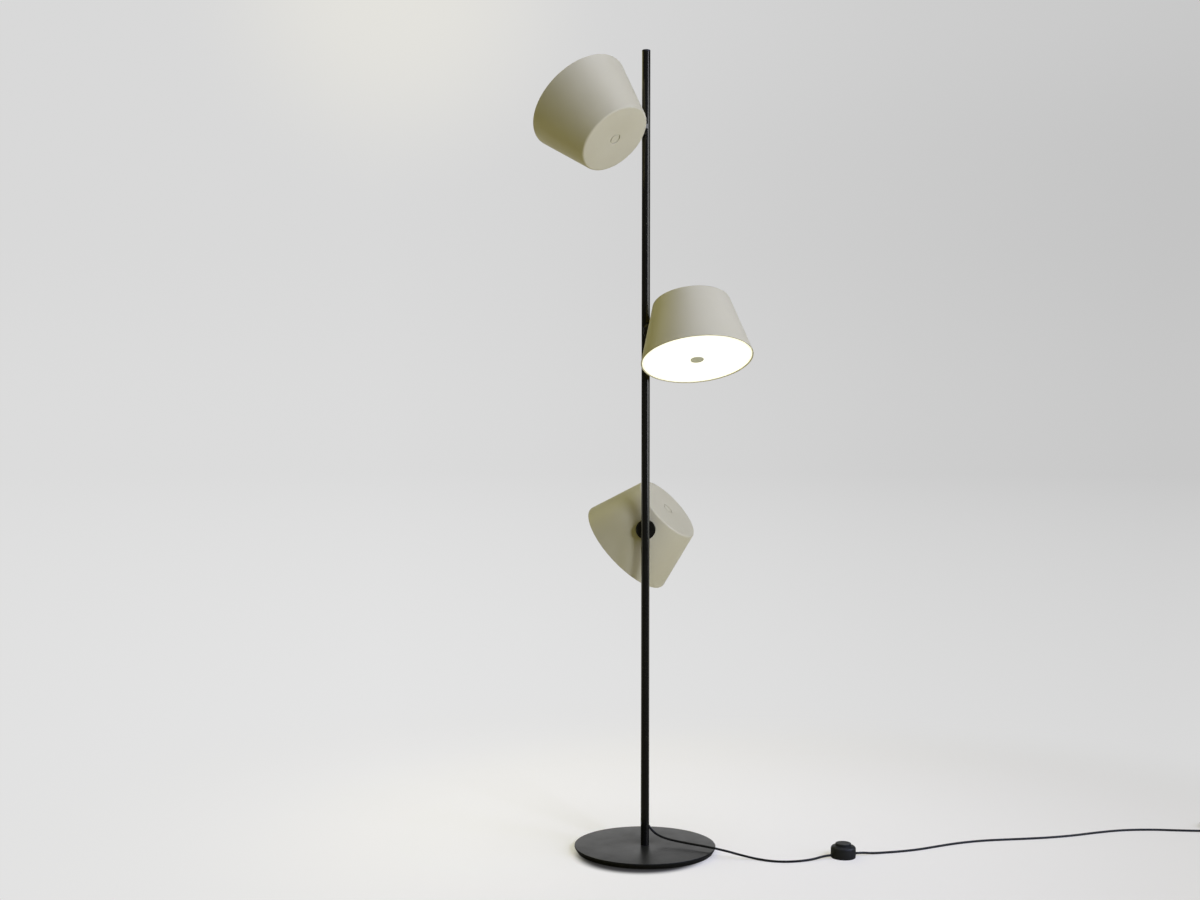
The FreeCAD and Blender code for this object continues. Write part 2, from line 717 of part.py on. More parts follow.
def make_shade_shell(level):
    """Spun shade: closed end with a dimple, conical wall, rolled rim."""
    hole = "sleeve_radius + close_gap"
    lip = "shade_depth - bead_height"
    inner_floor = wall_radius("shade_wall", "shade_wall")
    shell = turned("shade_shell_" + level, [
        (hole, "dimple_depth"), ("dimple_radius", "dimple_depth"), ("dimple_radius", "0"),
        ("end_radius", "0"), ("rim_radius", "shade_depth"),
        ("rim_radius - bead_width", "shade_depth"), ("rim_radius - bead_width", lip),
        (wall_radius(lip, "shade_wall"), lip), (inner_floor, "shade_wall"),
        ("dimple_radius + shade_wall", "shade_wall"),
        ("dimple_radius + shade_wall", "shade_wall + dimple_depth"),
        (hole, "shade_wall + dimple_depth")])
    round_ring(shell, "end_round", "end_radius", "0")
    round_ring(shell, "end_round - shade_wall", inner_floor, "shade_wall")
    round_ring(shell, "bead_height / 3", "rim_radius", "shade_depth")
    station = V(num(wall_radius("wall_station")), 0, num("wall_station"))
    inward = V(-math.cos(SLANT), 0, math.sin(SLANT))
    start = station - inward * (4 * num("shade_wall"))
    drill(shell, "pin_radius + wall_hole_gap", "shade_wall * 8", start, inward)
    keep(shell, "shade_shell_" + level, shade_frame(level))


TRAY_BACK = "shade_depth - tray_height"
DIFFUSER_BACK = "shade_depth - diffuser_set - diffuser_thickness"


def make_centre_line(level):
    """Rear cap, centre rod and diffuser knob, which clamp the shade's inside."""
    cap_end = "dimple_depth + sleeve_length"
    bore = "rod_radius + close_gap"
    web = "dimple_depth + cap_web"
    cap = turned("rear_cap_" + level, [
        ("0", "cap_sink"), ("button_cap_radius - cap_rim", "cap_sink"),
        ("button_cap_radius", "cap_sink + cap_rim"),
        ("button_cap_radius", "dimple_depth"), ("sleeve_radius", "dimple_depth"),
        ("sleeve_radius", cap_end), (bore, cap_end), (bore, web), ("0", web)])
    keep(cap, "rear_cap_" + level, shade_frame(level))
    face = "shade_depth - diffuser_set"
    rod_start = web + " + close_gap"
    rod_end = face + " - rod_end"
    rod = turned("centre_rod_" + level, [
        ("0", rod_start), ("rod_radius", rod_start),
        ("rod_radius", cap_end + " + close_gap"), ("rod_collar", cap_end + " + close_gap"),
        ("rod_collar", TRAY_BACK), ("rod_radius", TRAY_BACK),
        ("rod_radius", rod_end), ("0", rod_end)])
    keep(rod, "centre_rod_" + level, shade_frame(level))
    crown = face + " + knob_head"
    socket_end = rod_end + " + close_gap"
    knob = turned("diffuser_knob_" + level, [
        ("0", socket_end), (bore, socket_end), (bore, face + " - knob_length"),
        ("knob_stem", face + " - knob_length"), ("knob_stem", face), ("knob_radius", face),
        ("knob_radius", crown + " - knob_edge"), ("knob_radius - knob_edge", crown),
        ("0", crown)])
    keep(knob, "diffuser_knob_" + level, shade_frame(level))


def make_led_tray(level):
    """Spun reflector tray whose flange carries the diffuser."""
    floor_top = TRAY_BACK + " + tray_sheet"
    flange_back = DIFFUSER_BACK + " - tray_sheet"
    tray = turned("led_tray_" + level, [
        ("rod_radius + close_gap", TRAY_BACK), ("tray_floor_radius", TRAY_BACK),
        ("tray_mouth_radius", flange_back), ("tray_mouth_radius + tray_flange", flange_back),
        ("tray_mouth_radius + tray_flange", DIFFUSER_BACK),
        ("tray_mouth_radius - tray_sheet", DIFFUSER_BACK),
        ("tray_floor_radius - tray_sheet", floor_top), ("rod_radius + close_gap", floor_top)])
    keep(tray, "led_tray_" + level, shade_frame(level))


def make_led_board(level):
    """Ring-shaped light board with a circle of chips."""
    low = TRAY_BACK + " + tray_sheet"
    top = low + " + board_thickness"
    board = turned("led_board_" + level, [
        ("board_bore", low), ("board_radius", low), ("board_radius", top), ("board_bore", top)])
    chip = board.newObject("PartDesign::AdditiveBox", "Chip")
    bind(chip, Length="chip_side", Width="chip_side", Height="chip_height")
    chip.Placement = shifted(num("chip_circle - chip_side / 2"), -num("chip_side") / 2, num(top))
    ring = board.newObject("PartDesign::PolarPattern", "Chips")
    ring.Originals = [chip]
    ring.Axis = (origin_feature(board, "Z_Axis"), [""])
    ring.Angle = 360
    ring.Occurrences = 12
    board.Tip = ring
    keep(board, "led_board_" + level, shade_frame(level))


def make_driver(level):
    """Sealed driver case, fixed to the closed end away from the pin."""
    near, far = "driver_width / 2", "-driver_width / 2"
    left, right = "-driver_length / 2", "driver_length / 2"
    case = padded("driver_" + level, [(left, far), (right, far), (right, near), (left, near)],
                  "driver_height")
    doc.recompute()
    upright = ["Edge%d" % (i + 1) for i, edge in enumerate(case.Shape.Edges)
               if abs(edge.BoundBox.ZLength - num("driver_height")) < 0.001]
    dress(case, "Fillet", "Radius", "driver_corner", upright)
    seat = shifted(-num("driver_offset"), 0, num("shade_wall") + num("close_gap"))
    keep(case, "driver_" + level, shade_frame(level) * seat)


def make_diffuser(level):
    """Opal disc. Its rim clears the rolled rim of the shade."""
    edge = "rim_radius - bead_width - diffuser_gap"
    face = "shade_depth - diffuser_set"
    hole = "knob_stem + knob_play"
    disc = turned("diffuser_" + level, [
        (hole, DIFFUSER_BACK), (edge + " - diffuser_edge", DIFFUSER_BACK),
        (edge, DIFFUSER_BACK + " + diffuser_edge"), (edge, face + " - diffuser_edge"),
        (edge + " - diffuser_edge", face), (hole, face)])
    keep(disc, "diffuser_" + level, shade_frame(level))


def make_shades():
    for level in LEVELS:
        make_shade_shell(level)
        make_centre_line(level)
        make_led_tray(level)
        make_led_board(level)
        make_driver(level)
        make_diffuser(level)
        make_swivel_disc(level)
        make_inner_bracket(level)


# ---------------------------------------------------------------- foot switch

def switch_frame():
    return shifted(num("switch_x"), num("switch_y"), 0) * turned_about_z(num("switch_yaw"))


def screw_places():
    return [V(0, side * num("screw_place"), 0) for side in (-1, 1)]


def make_switch_base():
    """Tray that closes the case from below, with two sunk screws."""
    edge = "switch_radius - tray_inset"
    tray = turned("switch_base", [
        ("0", "0"), (edge + " - tray_edge", "0"), (edge, "tray_edge"), (edge, "tray_top"),
        ("0", "tray_top")])
    under = "screw_sink + screw_head_height"
    for place in screw_places():
        drill(tray, "screw_head + close_gap * 2", under + " + close_gap", place, UP)
        drill(tray, "screw_radius + close_gap", "tray_top * 2", place, UP)
    keep(tray, "switch_base", switch_frame())
    screws = []
    for place in screw_places():
        screw = turned("switch_screw", [
            ("0", "screw_sink"), ("screw_head", "screw_sink"), ("screw_head", under),
            ("screw_radius", under), ("screw_radius", "screw_length"), ("0", "screw_length")])
        screw.Placement = switch_frame() * FreeCAD.Placement(place, FreeCAD.Rotation())
        screws.append(screw)
    group("switch_screws", screws)


def make_switch_cover():
    """Round case with a domed shoulder and a collar at each inlet."""
    foot = "tray_top + close_gap"
    hole = "button_radius + button_gap"
    inner = "switch_radius - switch_wall"
    lip = "case_shoulder - switch_wall"
    cover = turned("switch_cover", [
        (inner, foot), ("switch_radius", foot), ("switch_radius", "case_shoulder"),
        (hole, "case_top"), (hole, lip), (inner, lip)])
    round_ring(cover, "case_round", "switch_radius", "case_shoulder")
    round_ring(cover, "case_round - switch_wall", inner, lip)
    for side in (-1, 1):
        collar = cover.newObject("PartDesign::AdditiveCone", "Inlet")
        bind(collar, Radius1="inlet_radius", Radius2="inlet_radius - inlet_taper",
             Height="inlet_reach - switch_radius + switch_wall / 2")
        collar.Placement = FreeCAD.Placement(
            V(side * (num("switch_radius") - num("switch_wall") / 2), 0, num("inlet_height")),
            FreeCAD.Rotation(UP, V(side, 0, 0)))
    keep(cover, "switch_cover", switch_frame())


def make_switch_button():
    """Hollow cap with a flange that keeps it under the case."""
    flange_top = "case_shoulder - switch_wall - flange_gap"
    flange_low = flange_top + " - flange_height"
    inner = "button_radius - button_wall"
    roof = "button_top - button_wall"
    button = turned("switch_button", [
        (inner, flange_low), ("button_radius + button_flange", flange_low),
        ("button_radius + button_flange", flange_top), ("button_radius", flange_top),
        ("button_radius", "button_top"), ("0", "button_top"), ("0", roof), (inner, roof)])
    round_ring(button, "button_round", "button_radius", "button_top")
    keep(button, "switch_button", switch_frame())


def make_switch_core():
    """Contact block with a cup for the spring."""
    long, wide = "core_length / 2", "core_width / 2"
    core = padded("switch_core", [("-" + long, "-" + wide), (long, "-" + wide), (long, wide),
                                  ("-" + long, wide)], "core_top - tray_top - close_gap")
    base = num("tray_top") + num("close_gap")
    for place in screw_places():
        drill(core, "screw_radius + close_gap", "screw_length", place, UP)
    keep(core, "switch_core", switch_frame() * shifted(0, 0, base))


# ---------------------------------------------------------------- tubes along paths

def cord_path(points):
    """Wire of straight runs joined by tangent arcs, as large as the runs allow."""
    edges = []
    radii = []
    start = points[0]
    for before, corner, after in zip(points, points[1:], points[2:]):
        back = (before - corner)
        ahead = (after - corner)
        turn = math.pi - back.getAngle(ahead)
        reach = 0.45 * min(back.Length, ahead.Length)
        radii.append(reach / math.tan(turn / 2))
        first = corner + back.normalize() * reach
        last = corner + ahead.normalize() * reach
        middle = arc_middle(first, last, corner, turn)
        edges.append(Part.LineSegment(start, first).toShape())
        edges.append(Part.Arc(first, middle, last).toShape())
        start = last
    edges.append(Part.LineSegment(start, points[-1]).toShape())
    return Part.Wire(edges), radii


def arc_middle(first, last, corner, turn):
    """Middle of the arc that is tangent to both runs at a corner."""
    chord_middle = (first + last) * 0.5
    to_corner = corner - chord_middle
    half_chord = (last - first).Length / 2
    rise = half_chord * math.tan(turn / 4)
    return chord_middle + to_corner.normalize() * rise


def sweep_round(wire, radius, start, direction):
    """Solid round tube along a wire."""
    profile = Part.Wire(Part.makeCircle(radius, start, direction))
    return wire.makePipeShell([profile], True, False)


def make_cord(name, points):
    radius = num("cord_radius")
    wire, radii = cord_path(points)
    solid = sweep_round(wire, radius, points[0], points[1] - points[0])
    piece = doc.addObject("Part::Feature", name)
    piece.Shape = solid
    keep(piece, name, FreeCAD.Placement())
    print("%s: length %.1f, bend radii %s" % (
        name, wire.Length, ", ".join("%.0f" % r for r in radii)))
    print("%s: volume over section times length %.4f" % (
        name, solid.Volume / (math.pi * radius ** 2 * wire.Length)))
    return wire.Length


def biarc(start, start_way, end, end_way):
    """Two arcs that leave start along start_way and reach end along end_way."""
    span = end - start
    ways = start_way + end_way
    shut = 2 * (1 - start_way.dot(end_way))
    along = span.dot(ways)
    reach = (math.sqrt(along ** 2 + shut * span.dot(span)) - along) / shut
    joint = (start + start_way * reach + end - end_way * reach) * 0.5
    return [tangent_arc(start, start_way, joint), tangent_arc(end, -end_way, joint)]


def tangent_arc(start, way, end):
    """Arc from start to end that is tangent to way at start."""
    chord = end - start
    bend = way.getAngle(chord)
    side = (chord.normalize() * way.dot(chord) - way) * -1
    middle = (start + end) * 0.5 + side.normalize() * ((end - start).Length / 2 * math.tan(bend / 2))
    return Part.Arc(start, middle, end).toShape()


def biarc_wire(points, ways):
    """Wire of biarcs through points along given directions, in order."""
    edges = []
    for i in range(len(points) - 1):
        first, second = biarc(points[i], ways[i], points[i + 1], ways[i + 1])
        edges.append(first)
        edges.append(second)
    return edges


def least_self_gap(spots, diameter, skip):
    """Least gap of a round tube to itself, on spots evenly spaced along it."""
    least = 1e9
    for i, spot in enumerate(spots):
        for other in spots[i + skip::2]:
            least = min(least, spot.distanceToPoint(other))
    return least - diameter


def make_switch_spring():
    """Coil spring between the contact block and the button, on quarter-turn biarcs."""
    low = num("core_top") + num("coil_wire") + num("close_gap")
    high = num("button_top") - num("button_wall") - num("coil_wire") - num("close_gap")
    turns = int(num("coil_turns"))
    mean = num("coil_mean")
    quarters = 4 * turns
    rise = (high - low) / (2 * math.pi * turns)
    points = []
    ways = []
    for i in range(quarters + 1):
        angle = math.pi / 2 * i
        points.append(V(mean * math.cos(angle), mean * math.sin(angle), low + rise * angle))
        ways.append(V(-mean * math.sin(angle), mean * math.cos(angle), rise).normalize())
    wire = Part.Wire(biarc_wire(points, ways))
    spring = doc.addObject("Part::Feature", "switch_spring")
    spring.Shape = sweep_round(wire, num("coil_wire"), points[0], ways[0])
    keep(spring, "switch_spring", switch_frame())
    print("switch_spring: gap between turns %.2f" % (
        (high - low) / turns - 2 * num("coil_wire")))


# ---------------------------------------------------------------- lead

GLAND_TIP = (V(0, 0, num("gland_height")) + gland_out() * num(GLAND_REACH)
             + nose_direction() * num("nose_length"))

TO_SWITCH = [
    V(19.07, 16.09, 42.32), V(31.0, 12.4, 33.9), V(46.0, 4.4, 29.3), V(66.0, -5.5, 26.0),
    V(100.0, -24.0, 24.0), V(146.0, -53.0, 23.6), V(186.0, -72.0, 19.6), V(222.0, -70.0, 9.0),
    V(257.0, -79.0, 2.9), V(291.0, -98.0, 2.7), V(329.0, -101.5, 2.7), V(364.0, -92.5, 2.7),
    V(392.0, -80.5, 3.8), V(415.62, -67.18, 7.0)]

TO_COIL = [
    V(508.38, -38.82, 7.0), V(533.0, -31.5, 3.6), V(563.0, -23.0, 2.7), V(604.0, -12.5, 2.7),
    V(652.0, 5.0, 2.7), V(704.0, 34.0, 2.7), V(762.0, 64.0, 2.7), V(832.0, 87.0, 2.7),
    V(908.0, 98.0, 2.7), V(984.0, 111.0, 2.7), V(1056.0, 131.0, 2.7), V(1126.0, 161.0, 2.7),
    V(1198.0, 185.0, 2.7), V(1272.0, 191.0, 2.7), V(1344.0, 181.0, 2.9), V(1402.0, 175.0, 3.6)]


def inlet_point(side):
    """End of the switch's collar on one side, where the lead meets it."""
    return switch_frame().multVec(V(side * num("inlet_reach"), 0, num("inlet_height")))


def coil_spot(turns):
    """Point of the put-away coil after a number of turns from its start."""
    layer = num("pack_layer_turns")
    step = num("pack_step")
    outer = num("pack_middle") + step * layer / 2
    inner = outer - step * layer
    low = num("cord_radius") + num("pack_lift")
    if turns <= layer:
        radius, height = outer - step * turns, low
    elif turns >= layer + 0.5:
        radius, height = inner + step * (turns - layer - 0.5), low + step
    else:
        share = (turns - layer) * 2
        radius = inner - step / 2 * (share - share ** 2)
        height = low + step * (3 * share ** 2 - 2 * share ** 3)
    angle = 2 * math.pi * turns - math.pi / 2
    centre = V(num("pack_x"), num("pack_start_y") + outer, 0)
    return centre + V(radius * math.cos(angle), radius * math.sin(angle), height)


def coil_way(turns):
    """Direction of the coil there, from two spots close by."""
    near = 0.001
    return (coil_spot(turns + near) - coil_spot(turns - near)).normalize()


def make_coil():
    """The put-away coil: spiral in, up a layer, spiral out, and a tail to the plug."""
    level = V(1, 0, 0)
    whole = 2 * num("pack_layer_turns") + 0.5
    quarters = int(round(whole * 4))
    points = [coil_spot(i / 4) for i in range(quarters + 1)]
    ways = [coil_way(i / 4) for i in range(quarters + 1)]
    ways[0] = level
    ways[-1] = level
    diameter = 2 * num("cord_radius")
    start = points[0] - level * diameter
    after = points[-1] + level * num("tail_level")
    drop = V(num("tail_drop"), 0, num("plug_half") - after.z)
    finish = after + drop
    end = finish + level * diameter
    slope = drop.normalize()
    half_way = after + (finish - after) * 0.5
    edges = [Part.LineSegment(start, points[0]).toShape()]
    edges += biarc_wire(points, ways)
    edges.append(Part.LineSegment(points[-1], after).toShape())
    edges += [tangent_arc(after, level, half_way), tangent_arc(finish, -level, half_way)]
    edges.append(Part.LineSegment(finish, end).toShape())
    wire = Part.Wire(Part.__sortEdges__(edges))
    coil = doc.addObject("Part::Feature", "cord_coil")
    coil.Shape = sweep_round(wire, num("cord_radius"), start, level)
    keep(coil, "cord_coil", FreeCAD.Placement())
    spots = [coil_spot(i / 48) for i in range(int(whole * 48) + 1)]
    print("cord_coil: length %.1f, least gap to itself %.2f" % (
        wire.Length, least_self_gap(spots, diameter, 36)))
    return start, end, wire.Length


def make_tie():
    """Flat strap round the coil's far side, half a turn from its start.

    The turns curve away under the strap's width, so its inner side has twice the slack.
    """
    first_crossing = 0.5
    last_crossing = num("pack_layer_turns") - 0.25
    radius, slack, strap = num("cord_radius"), num("tie_slack"), num("tie_sheet")
    near = coil_spot(last_crossing).y - radius - 2 * slack
    far = coil_spot(first_crossing).y + radius + slack
    roof = 2 * radius + num("pack_step") + num("pack_lift") + slack / 2
    span = far - near
    outer = Part.makeBox(num("tie_width"), span + 2 * strap, roof + strap)
    inner = Part.makeBox(num("tie_width"), span, roof - strap)
    outer.translate(V(-num("tie_width") / 2, near - strap, 0))
    inner.translate(V(-num("tie_width") / 2, near, strap))
    tie = doc.addObject("Part::Feature", "coil_tie")
    tie.Shape = outer.cut(inner)
    keep(tie, "coil_tie", shifted(num("pack_x"), 0, 0))


def make_plug(start):
    """Flat two-pin plug. Its frame starts where the lead enters, X towards the pins."""
    place = FreeCAD.Placement(start, FreeCAD.Rotation())
    halves = [("plug_neck", "plug_neck_width"), ("plug_shoulder", "plug_shoulder_width"),
              ("plug_flare", "plug_face_width"), ("plug_length", "plug_face_width")]
    corners = [(x, "-" + y) for x, y in halves] + list(reversed(halves))
    body = padded("plug_body", corners, "plug_half * 2", both_ways=True)
    doc.recompute()
    rims = ["Edge%d" % (i + 1) for i, edge in enumerate(body.Shape.Edges)
            if edge.BoundBox.ZLength < 0.001 and edge.BoundBox.XLength > 1]
    dress(body, "Chamfer", "Size", "plug_edge", rims)
    relief = body.newObject("PartDesign::AdditiveCone", "Relief")
    bind(relief, Radius1="plug_relief_tip", Radius2="plug_relief_root", Height="plug_relief")
    relief.Placement = FreeCAD.Placement(V(0, 0, 0), FreeCAD.Rotation(UP, V(1, 0, 0)))
    for side in (-1, 1):
        drill(body, "prong_radius + close_gap", "prong_root * 2",
              V(num("plug_length - prong_root"), side * num("prong_place"), 0), V(1, 0, 0))
    keep(body, "plug_body", place)
    prongs = []
    for side in (-1, 1):
        prong = turned("plug_pin", [
            ("0", "0"), ("prong_radius", "0"),
            ("prong_radius", "prong_root + prong_length - prong_edge"),
            ("prong_radius - prong_edge", "prong_root + prong_length"),
            ("0", "prong_root + prong_length")])
        prong.Placement = place * FreeCAD.Placement(
            V(num("plug_length - prong_root"), side * num("prong_place"), 0),
            FreeCAD.Rotation(UP, V(1, 0, 0)))
        prongs.append(prong)
    group("plug_pins", prongs)


def make_lead():
    first = make_cord("cord_to_switch", [GLAND_TIP] + TO_SWITCH + [inlet_point(-1)])
    coil_start, coil_end, coil_length = make_coil()
    second = make_cord("cord_to_coil", [inlet_point(1)] + TO_COIL + [coil_start])
    make_tie()
    make_plug(coil_end)
    print("lead from the pole to the plug: %.0f" % (first + second + coil_length))


# ---------------------------------------------------------------- build and write

make_base_plate()
make_foot()
make_pole()
make_gland()
make_pole_wiring()
make_fixed_swivels()
make_shades()
make_switch_base()
make_switch_cover()
make_switch_button()
make_switch_core()
make_switch_spring()
make_lead()
doc.recompute()

for thing in doc.Objects:
    if "Invalid" in thing.State or "Error" in thing.State:
        raise RuntimeError("%s did not build: %s" % (thing.Label, thing.State))
for node in nodes:
    if node.Shape.isNull() or not node.Shape.isValid() or not node.Shape.Solids:
        raise RuntimeError("%s has no valid solid" % node.Label)

os.makedirs("parts", exist_ok=True)
for node in nodes:
    node.Shape.exportStep("parts/%s.step" % node.Label)
print("%d nodes, %d solids" % (len(nodes), sum(len(node.Shape.Solids) for node in nodes)))
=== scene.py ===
# %% [markdown]
# # A tree floor lamp
#
# The lamp is a black steel pole on a black disc, with three greige shades that swivel on
# hubs along the pole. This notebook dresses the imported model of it: every part keeps its
# place, and gets the surface that the real part has.
#
# Lengths are in metres. The origin is the middle of the base's underside, Z runs up the
# pole, X runs to the right in the front view and Y away from the viewer.

# %% Load the frame
import json
import math

import bmesh
import bpy
import numpy as np
from mathutils import Matrix, Vector


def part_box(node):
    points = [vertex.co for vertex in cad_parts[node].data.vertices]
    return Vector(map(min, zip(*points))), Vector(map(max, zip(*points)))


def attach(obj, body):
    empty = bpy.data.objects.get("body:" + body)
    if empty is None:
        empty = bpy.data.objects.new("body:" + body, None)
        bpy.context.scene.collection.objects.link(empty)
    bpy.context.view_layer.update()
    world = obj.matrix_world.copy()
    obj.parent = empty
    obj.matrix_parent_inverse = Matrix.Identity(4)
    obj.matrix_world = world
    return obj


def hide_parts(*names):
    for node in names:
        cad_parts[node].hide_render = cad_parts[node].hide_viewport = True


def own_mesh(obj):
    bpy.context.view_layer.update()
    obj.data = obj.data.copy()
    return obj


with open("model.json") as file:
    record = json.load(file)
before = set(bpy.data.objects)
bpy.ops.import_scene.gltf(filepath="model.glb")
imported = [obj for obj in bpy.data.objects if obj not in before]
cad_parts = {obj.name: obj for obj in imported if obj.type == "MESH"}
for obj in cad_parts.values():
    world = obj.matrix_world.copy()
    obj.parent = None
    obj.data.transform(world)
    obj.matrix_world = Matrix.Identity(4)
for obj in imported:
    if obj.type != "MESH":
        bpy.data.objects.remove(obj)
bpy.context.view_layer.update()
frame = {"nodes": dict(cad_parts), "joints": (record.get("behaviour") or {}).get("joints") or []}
MM = 0.001

# %% [markdown]
# ## Where each shade hangs
#
# A shade turns on a pin that points straight out of the pole. The record gives the pin's
# place and direction, and its range, which reaches as far to both sides of facing straight
# down, so the middle of the range says how far the shade is turned at rest.
#
# A shade has a frame of its own: Z runs from the closed end to the rim, and its wall
# touches the pin at a known station. With that frame, a ring or a gradient can be made
# round the shade's own axis, whichever way it points.

# %% Shade frames
END_RADIUS, RIM_RADIUS, SHADE_DEPTH = 89.9 * MM, 130.7 * MM, 147 * MM
PIN_STATION = 41.7 * MM
WALL_DISTANCE = 27.5 * MM
SHADE_WALL = 1.2 * MM
SLANT = math.atan((RIM_RADIUS - END_RADIUS) / SHADE_DEPTH)


def shade_matrix(joint):
    """World matrix of a shade's own frame, from its swivel joint."""
    out = Vector(joint["axis"]).normalized()
    turn = -math.radians(sum(joint["range_deg"]) / 2)
    level = Vector((0, 0, 1)).cross(out)
    side = level * math.cos(turn) + Vector((0, 0, 1)) * math.sin(turn)
    head = Vector((0, 0, 1)) * math.cos(turn) - level * math.sin(turn)
    run, rise = math.cos(SLANT), math.sin(SLANT)
    pin_circle = END_RADIUS + math.tan(SLANT) * PIN_STATION
    origin = Vector(joint["pos_m"]) + head * (pin_circle * rise + PIN_STATION * run)
    origin += out * (WALL_DISTANCE + pin_circle * run - PIN_STATION * rise)
    x_axis = -rise * head - run * out
    z_axis = -run * head + rise * out
    columns = Matrix((x_axis, side, z_axis)).transposed()
    return Matrix.Translation(origin) @ columns.to_4x4()


SHADES = {}
for swivel in frame["joints"]:
    if swivel["type"] == "hinge":
        SHADES[swivel["child"].removeprefix("shade_")] = shade_matrix(swivel)
for level, place in SHADES.items():
    print(level, "shade points along", [round(x, 2) for x in place.col[2][:3]])

# %% [markdown]
# ## The camera
#
# The photograph was taken from the front, level with the middle of the lamp. Its field of
# view and distance were worked out from the shades' outlines, the pole and the base. A
# lens is kept in the same units as the sensor, so its length is the focal length in
# pixels, over the picture's width, times the sensor's width. The camera is held level, but
# for a roll of a tenth of a degree.

# %% Camera
PHOTO_WIDTH = 1200
FOCAL_PIXELS = 1457.7
SENSOR = 36.0
CAMERA_PLACE = (-0.1081, -3.4597, 0.9507)
CAMERA_ROLL = math.radians(-0.10)


def add_object(name, data):
    """New object in the scene."""
    made = bpy.data.objects.new(name, data)
    bpy.context.scene.collection.objects.link(made)
    return made


camera = add_object("camera", bpy.data.cameras.new("camera"))
camera.data.sensor_width = SENSOR
camera.data.lens = FOCAL_PIXELS / PHOTO_WIDTH * SENSOR
camera.data.clip_end = 200
camera.location = CAMERA_PLACE
camera.rotation_euler = (math.radians(90), CAMERA_ROLL, 0)
bpy.context.scene.camera = camera
print("lens: %.1f mm" % camera.data.lens)

# %% [markdown]
# ## The lead
#
# A mains lead is one smooth line of a fixed length. It could be a mesh tube, but a NURBS
# curve with a round bevel is the natural tool: a few control points, given as the lead
# lies in the photograph, and the spline does the smoothing. The first stretch leaves the
# pole through a rubber gland, crosses the base and comes to the foot switch.

# %% Lead helpers
LEAD_RADIUS = 2.7 * MM


def lead_curve(name, points):
    """Curve object of one open NURBS spline of order 3 through its first and last point.

    The bevel is a metre deep, times each point's own radius, so the tube is LEAD_RADIUS.
    """
    data = bpy.data.curves.new(name, "CURVE")
    data.dimensions = "3D"
    data.bevel_depth = 1.0
    data.bevel_resolution = 7
    data.resolution_u = 8
    data.use_fill_caps = True
    spline = data.splines.new("NURBS")
    spline.points.add(len(points) - 1)
    flat = np.ones((len(points), 4))
    flat[:, :3] = points
    spline.points.foreach_set("co", flat.ravel())
    spline.points.foreach_set("radius", np.full(len(points), LEAD_RADIUS))
    spline.order_u = 3
    spline.use_endpoint_u = True
    return add_object(name, data)


def spline_length(piece):
    """Length of a curve's centreline, measured on its evaluated line without the bevel."""
    bare = piece.data.copy()
    bare.bevel_depth = 0
    probe = bpy.data.objects.new("probe", bare)
    mesh = bpy.data.meshes.new_from_object(probe)
    spots = np.empty(len(mesh.vertices) * 3)
    mesh.vertices.foreach_get("co", spots)
    spots = spots.reshape(-1, 3)
    bpy.data.objects.remove(probe)
    bpy.data.meshes.remove(mesh)
    return float(np.linalg.norm(np.diff(spots, axis=0), axis=1).sum())


# %% From the pole to the foot switch
TO_SWITCH = np.array([
    (11.14, 15.44, 52.34), (19.07, 16.09, 42.32), (31.0, 12.4, 33.9), (46.0, 4.4, 29.3),
    (66.0, -5.5, 26.0), (100.0, -24.0, 24.0), (146.0, -53.0, 23.6), (186.0, -72.0, 19.6),
    (222.0, -70.0, 9.0), (257.0, -79.0, 2.9), (291.0, -98.0, 2.7), (329.0, -101.5, 2.7),
    (364.0, -92.5, 2.7), (392.0, -80.5, 3.8), (415.62, -67.18, 7.0),
    (430.92, -62.502, 7.0)]) * MM
first_lead = lead_curve("lead_to_switch", TO_SWITCH)
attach(first_lead, "stand")
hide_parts("cord_to_switch")
first_length = spline_length(first_lead)
print("pole to switch: %.3f m" % first_length)

# %% [markdown]
# ## The rest of the lead, put away
#
# Beyond the switch the lead runs on across the floor and out of the picture. What the
# picture doesn't show is wound into a neat coil for storage. The coil is the same spline:
# its turns spiral in on the lower layer, climb in a half turn, and spiral out again on
# top. Each point is worked out from the number of turns wound so far. After the last turn
# a short tail dips to the floor and comes up to the middle of the plug.

# %% From the switch to the coil
TO_COIL = np.array([
    (493.08, -43.498, 7.0), (508.38, -38.82, 7.0), (533.0, -31.5, 3.6), (563.0, -23.0, 2.7),
    (604.0, -12.5, 2.7), (652.0, 5.0, 2.7), (704.0, 34.0, 2.7), (762.0, 64.0, 2.7),
    (832.0, 87.0, 2.7), (908.0, 98.0, 2.7), (984.0, 111.0, 2.7), (1056.0, 131.0, 2.7),
    (1126.0, 161.0, 2.7), (1198.0, 185.0, 2.7), (1272.0, 191.0, 2.7), (1344.0, 181.0, 2.9),
    (1402.0, 175.0, 3.6)]) * MM

COIL_START = np.array([1450, 175, 3.6]) * MM
COIL_MIDDLE_RADIUS = 32.4 * MM
COIL_STEP = 6 * MM
LAYER_TURNS = 2.75
POINTS_A_TURN = 16
PLUG_HEIGHT = 6.85 * MM


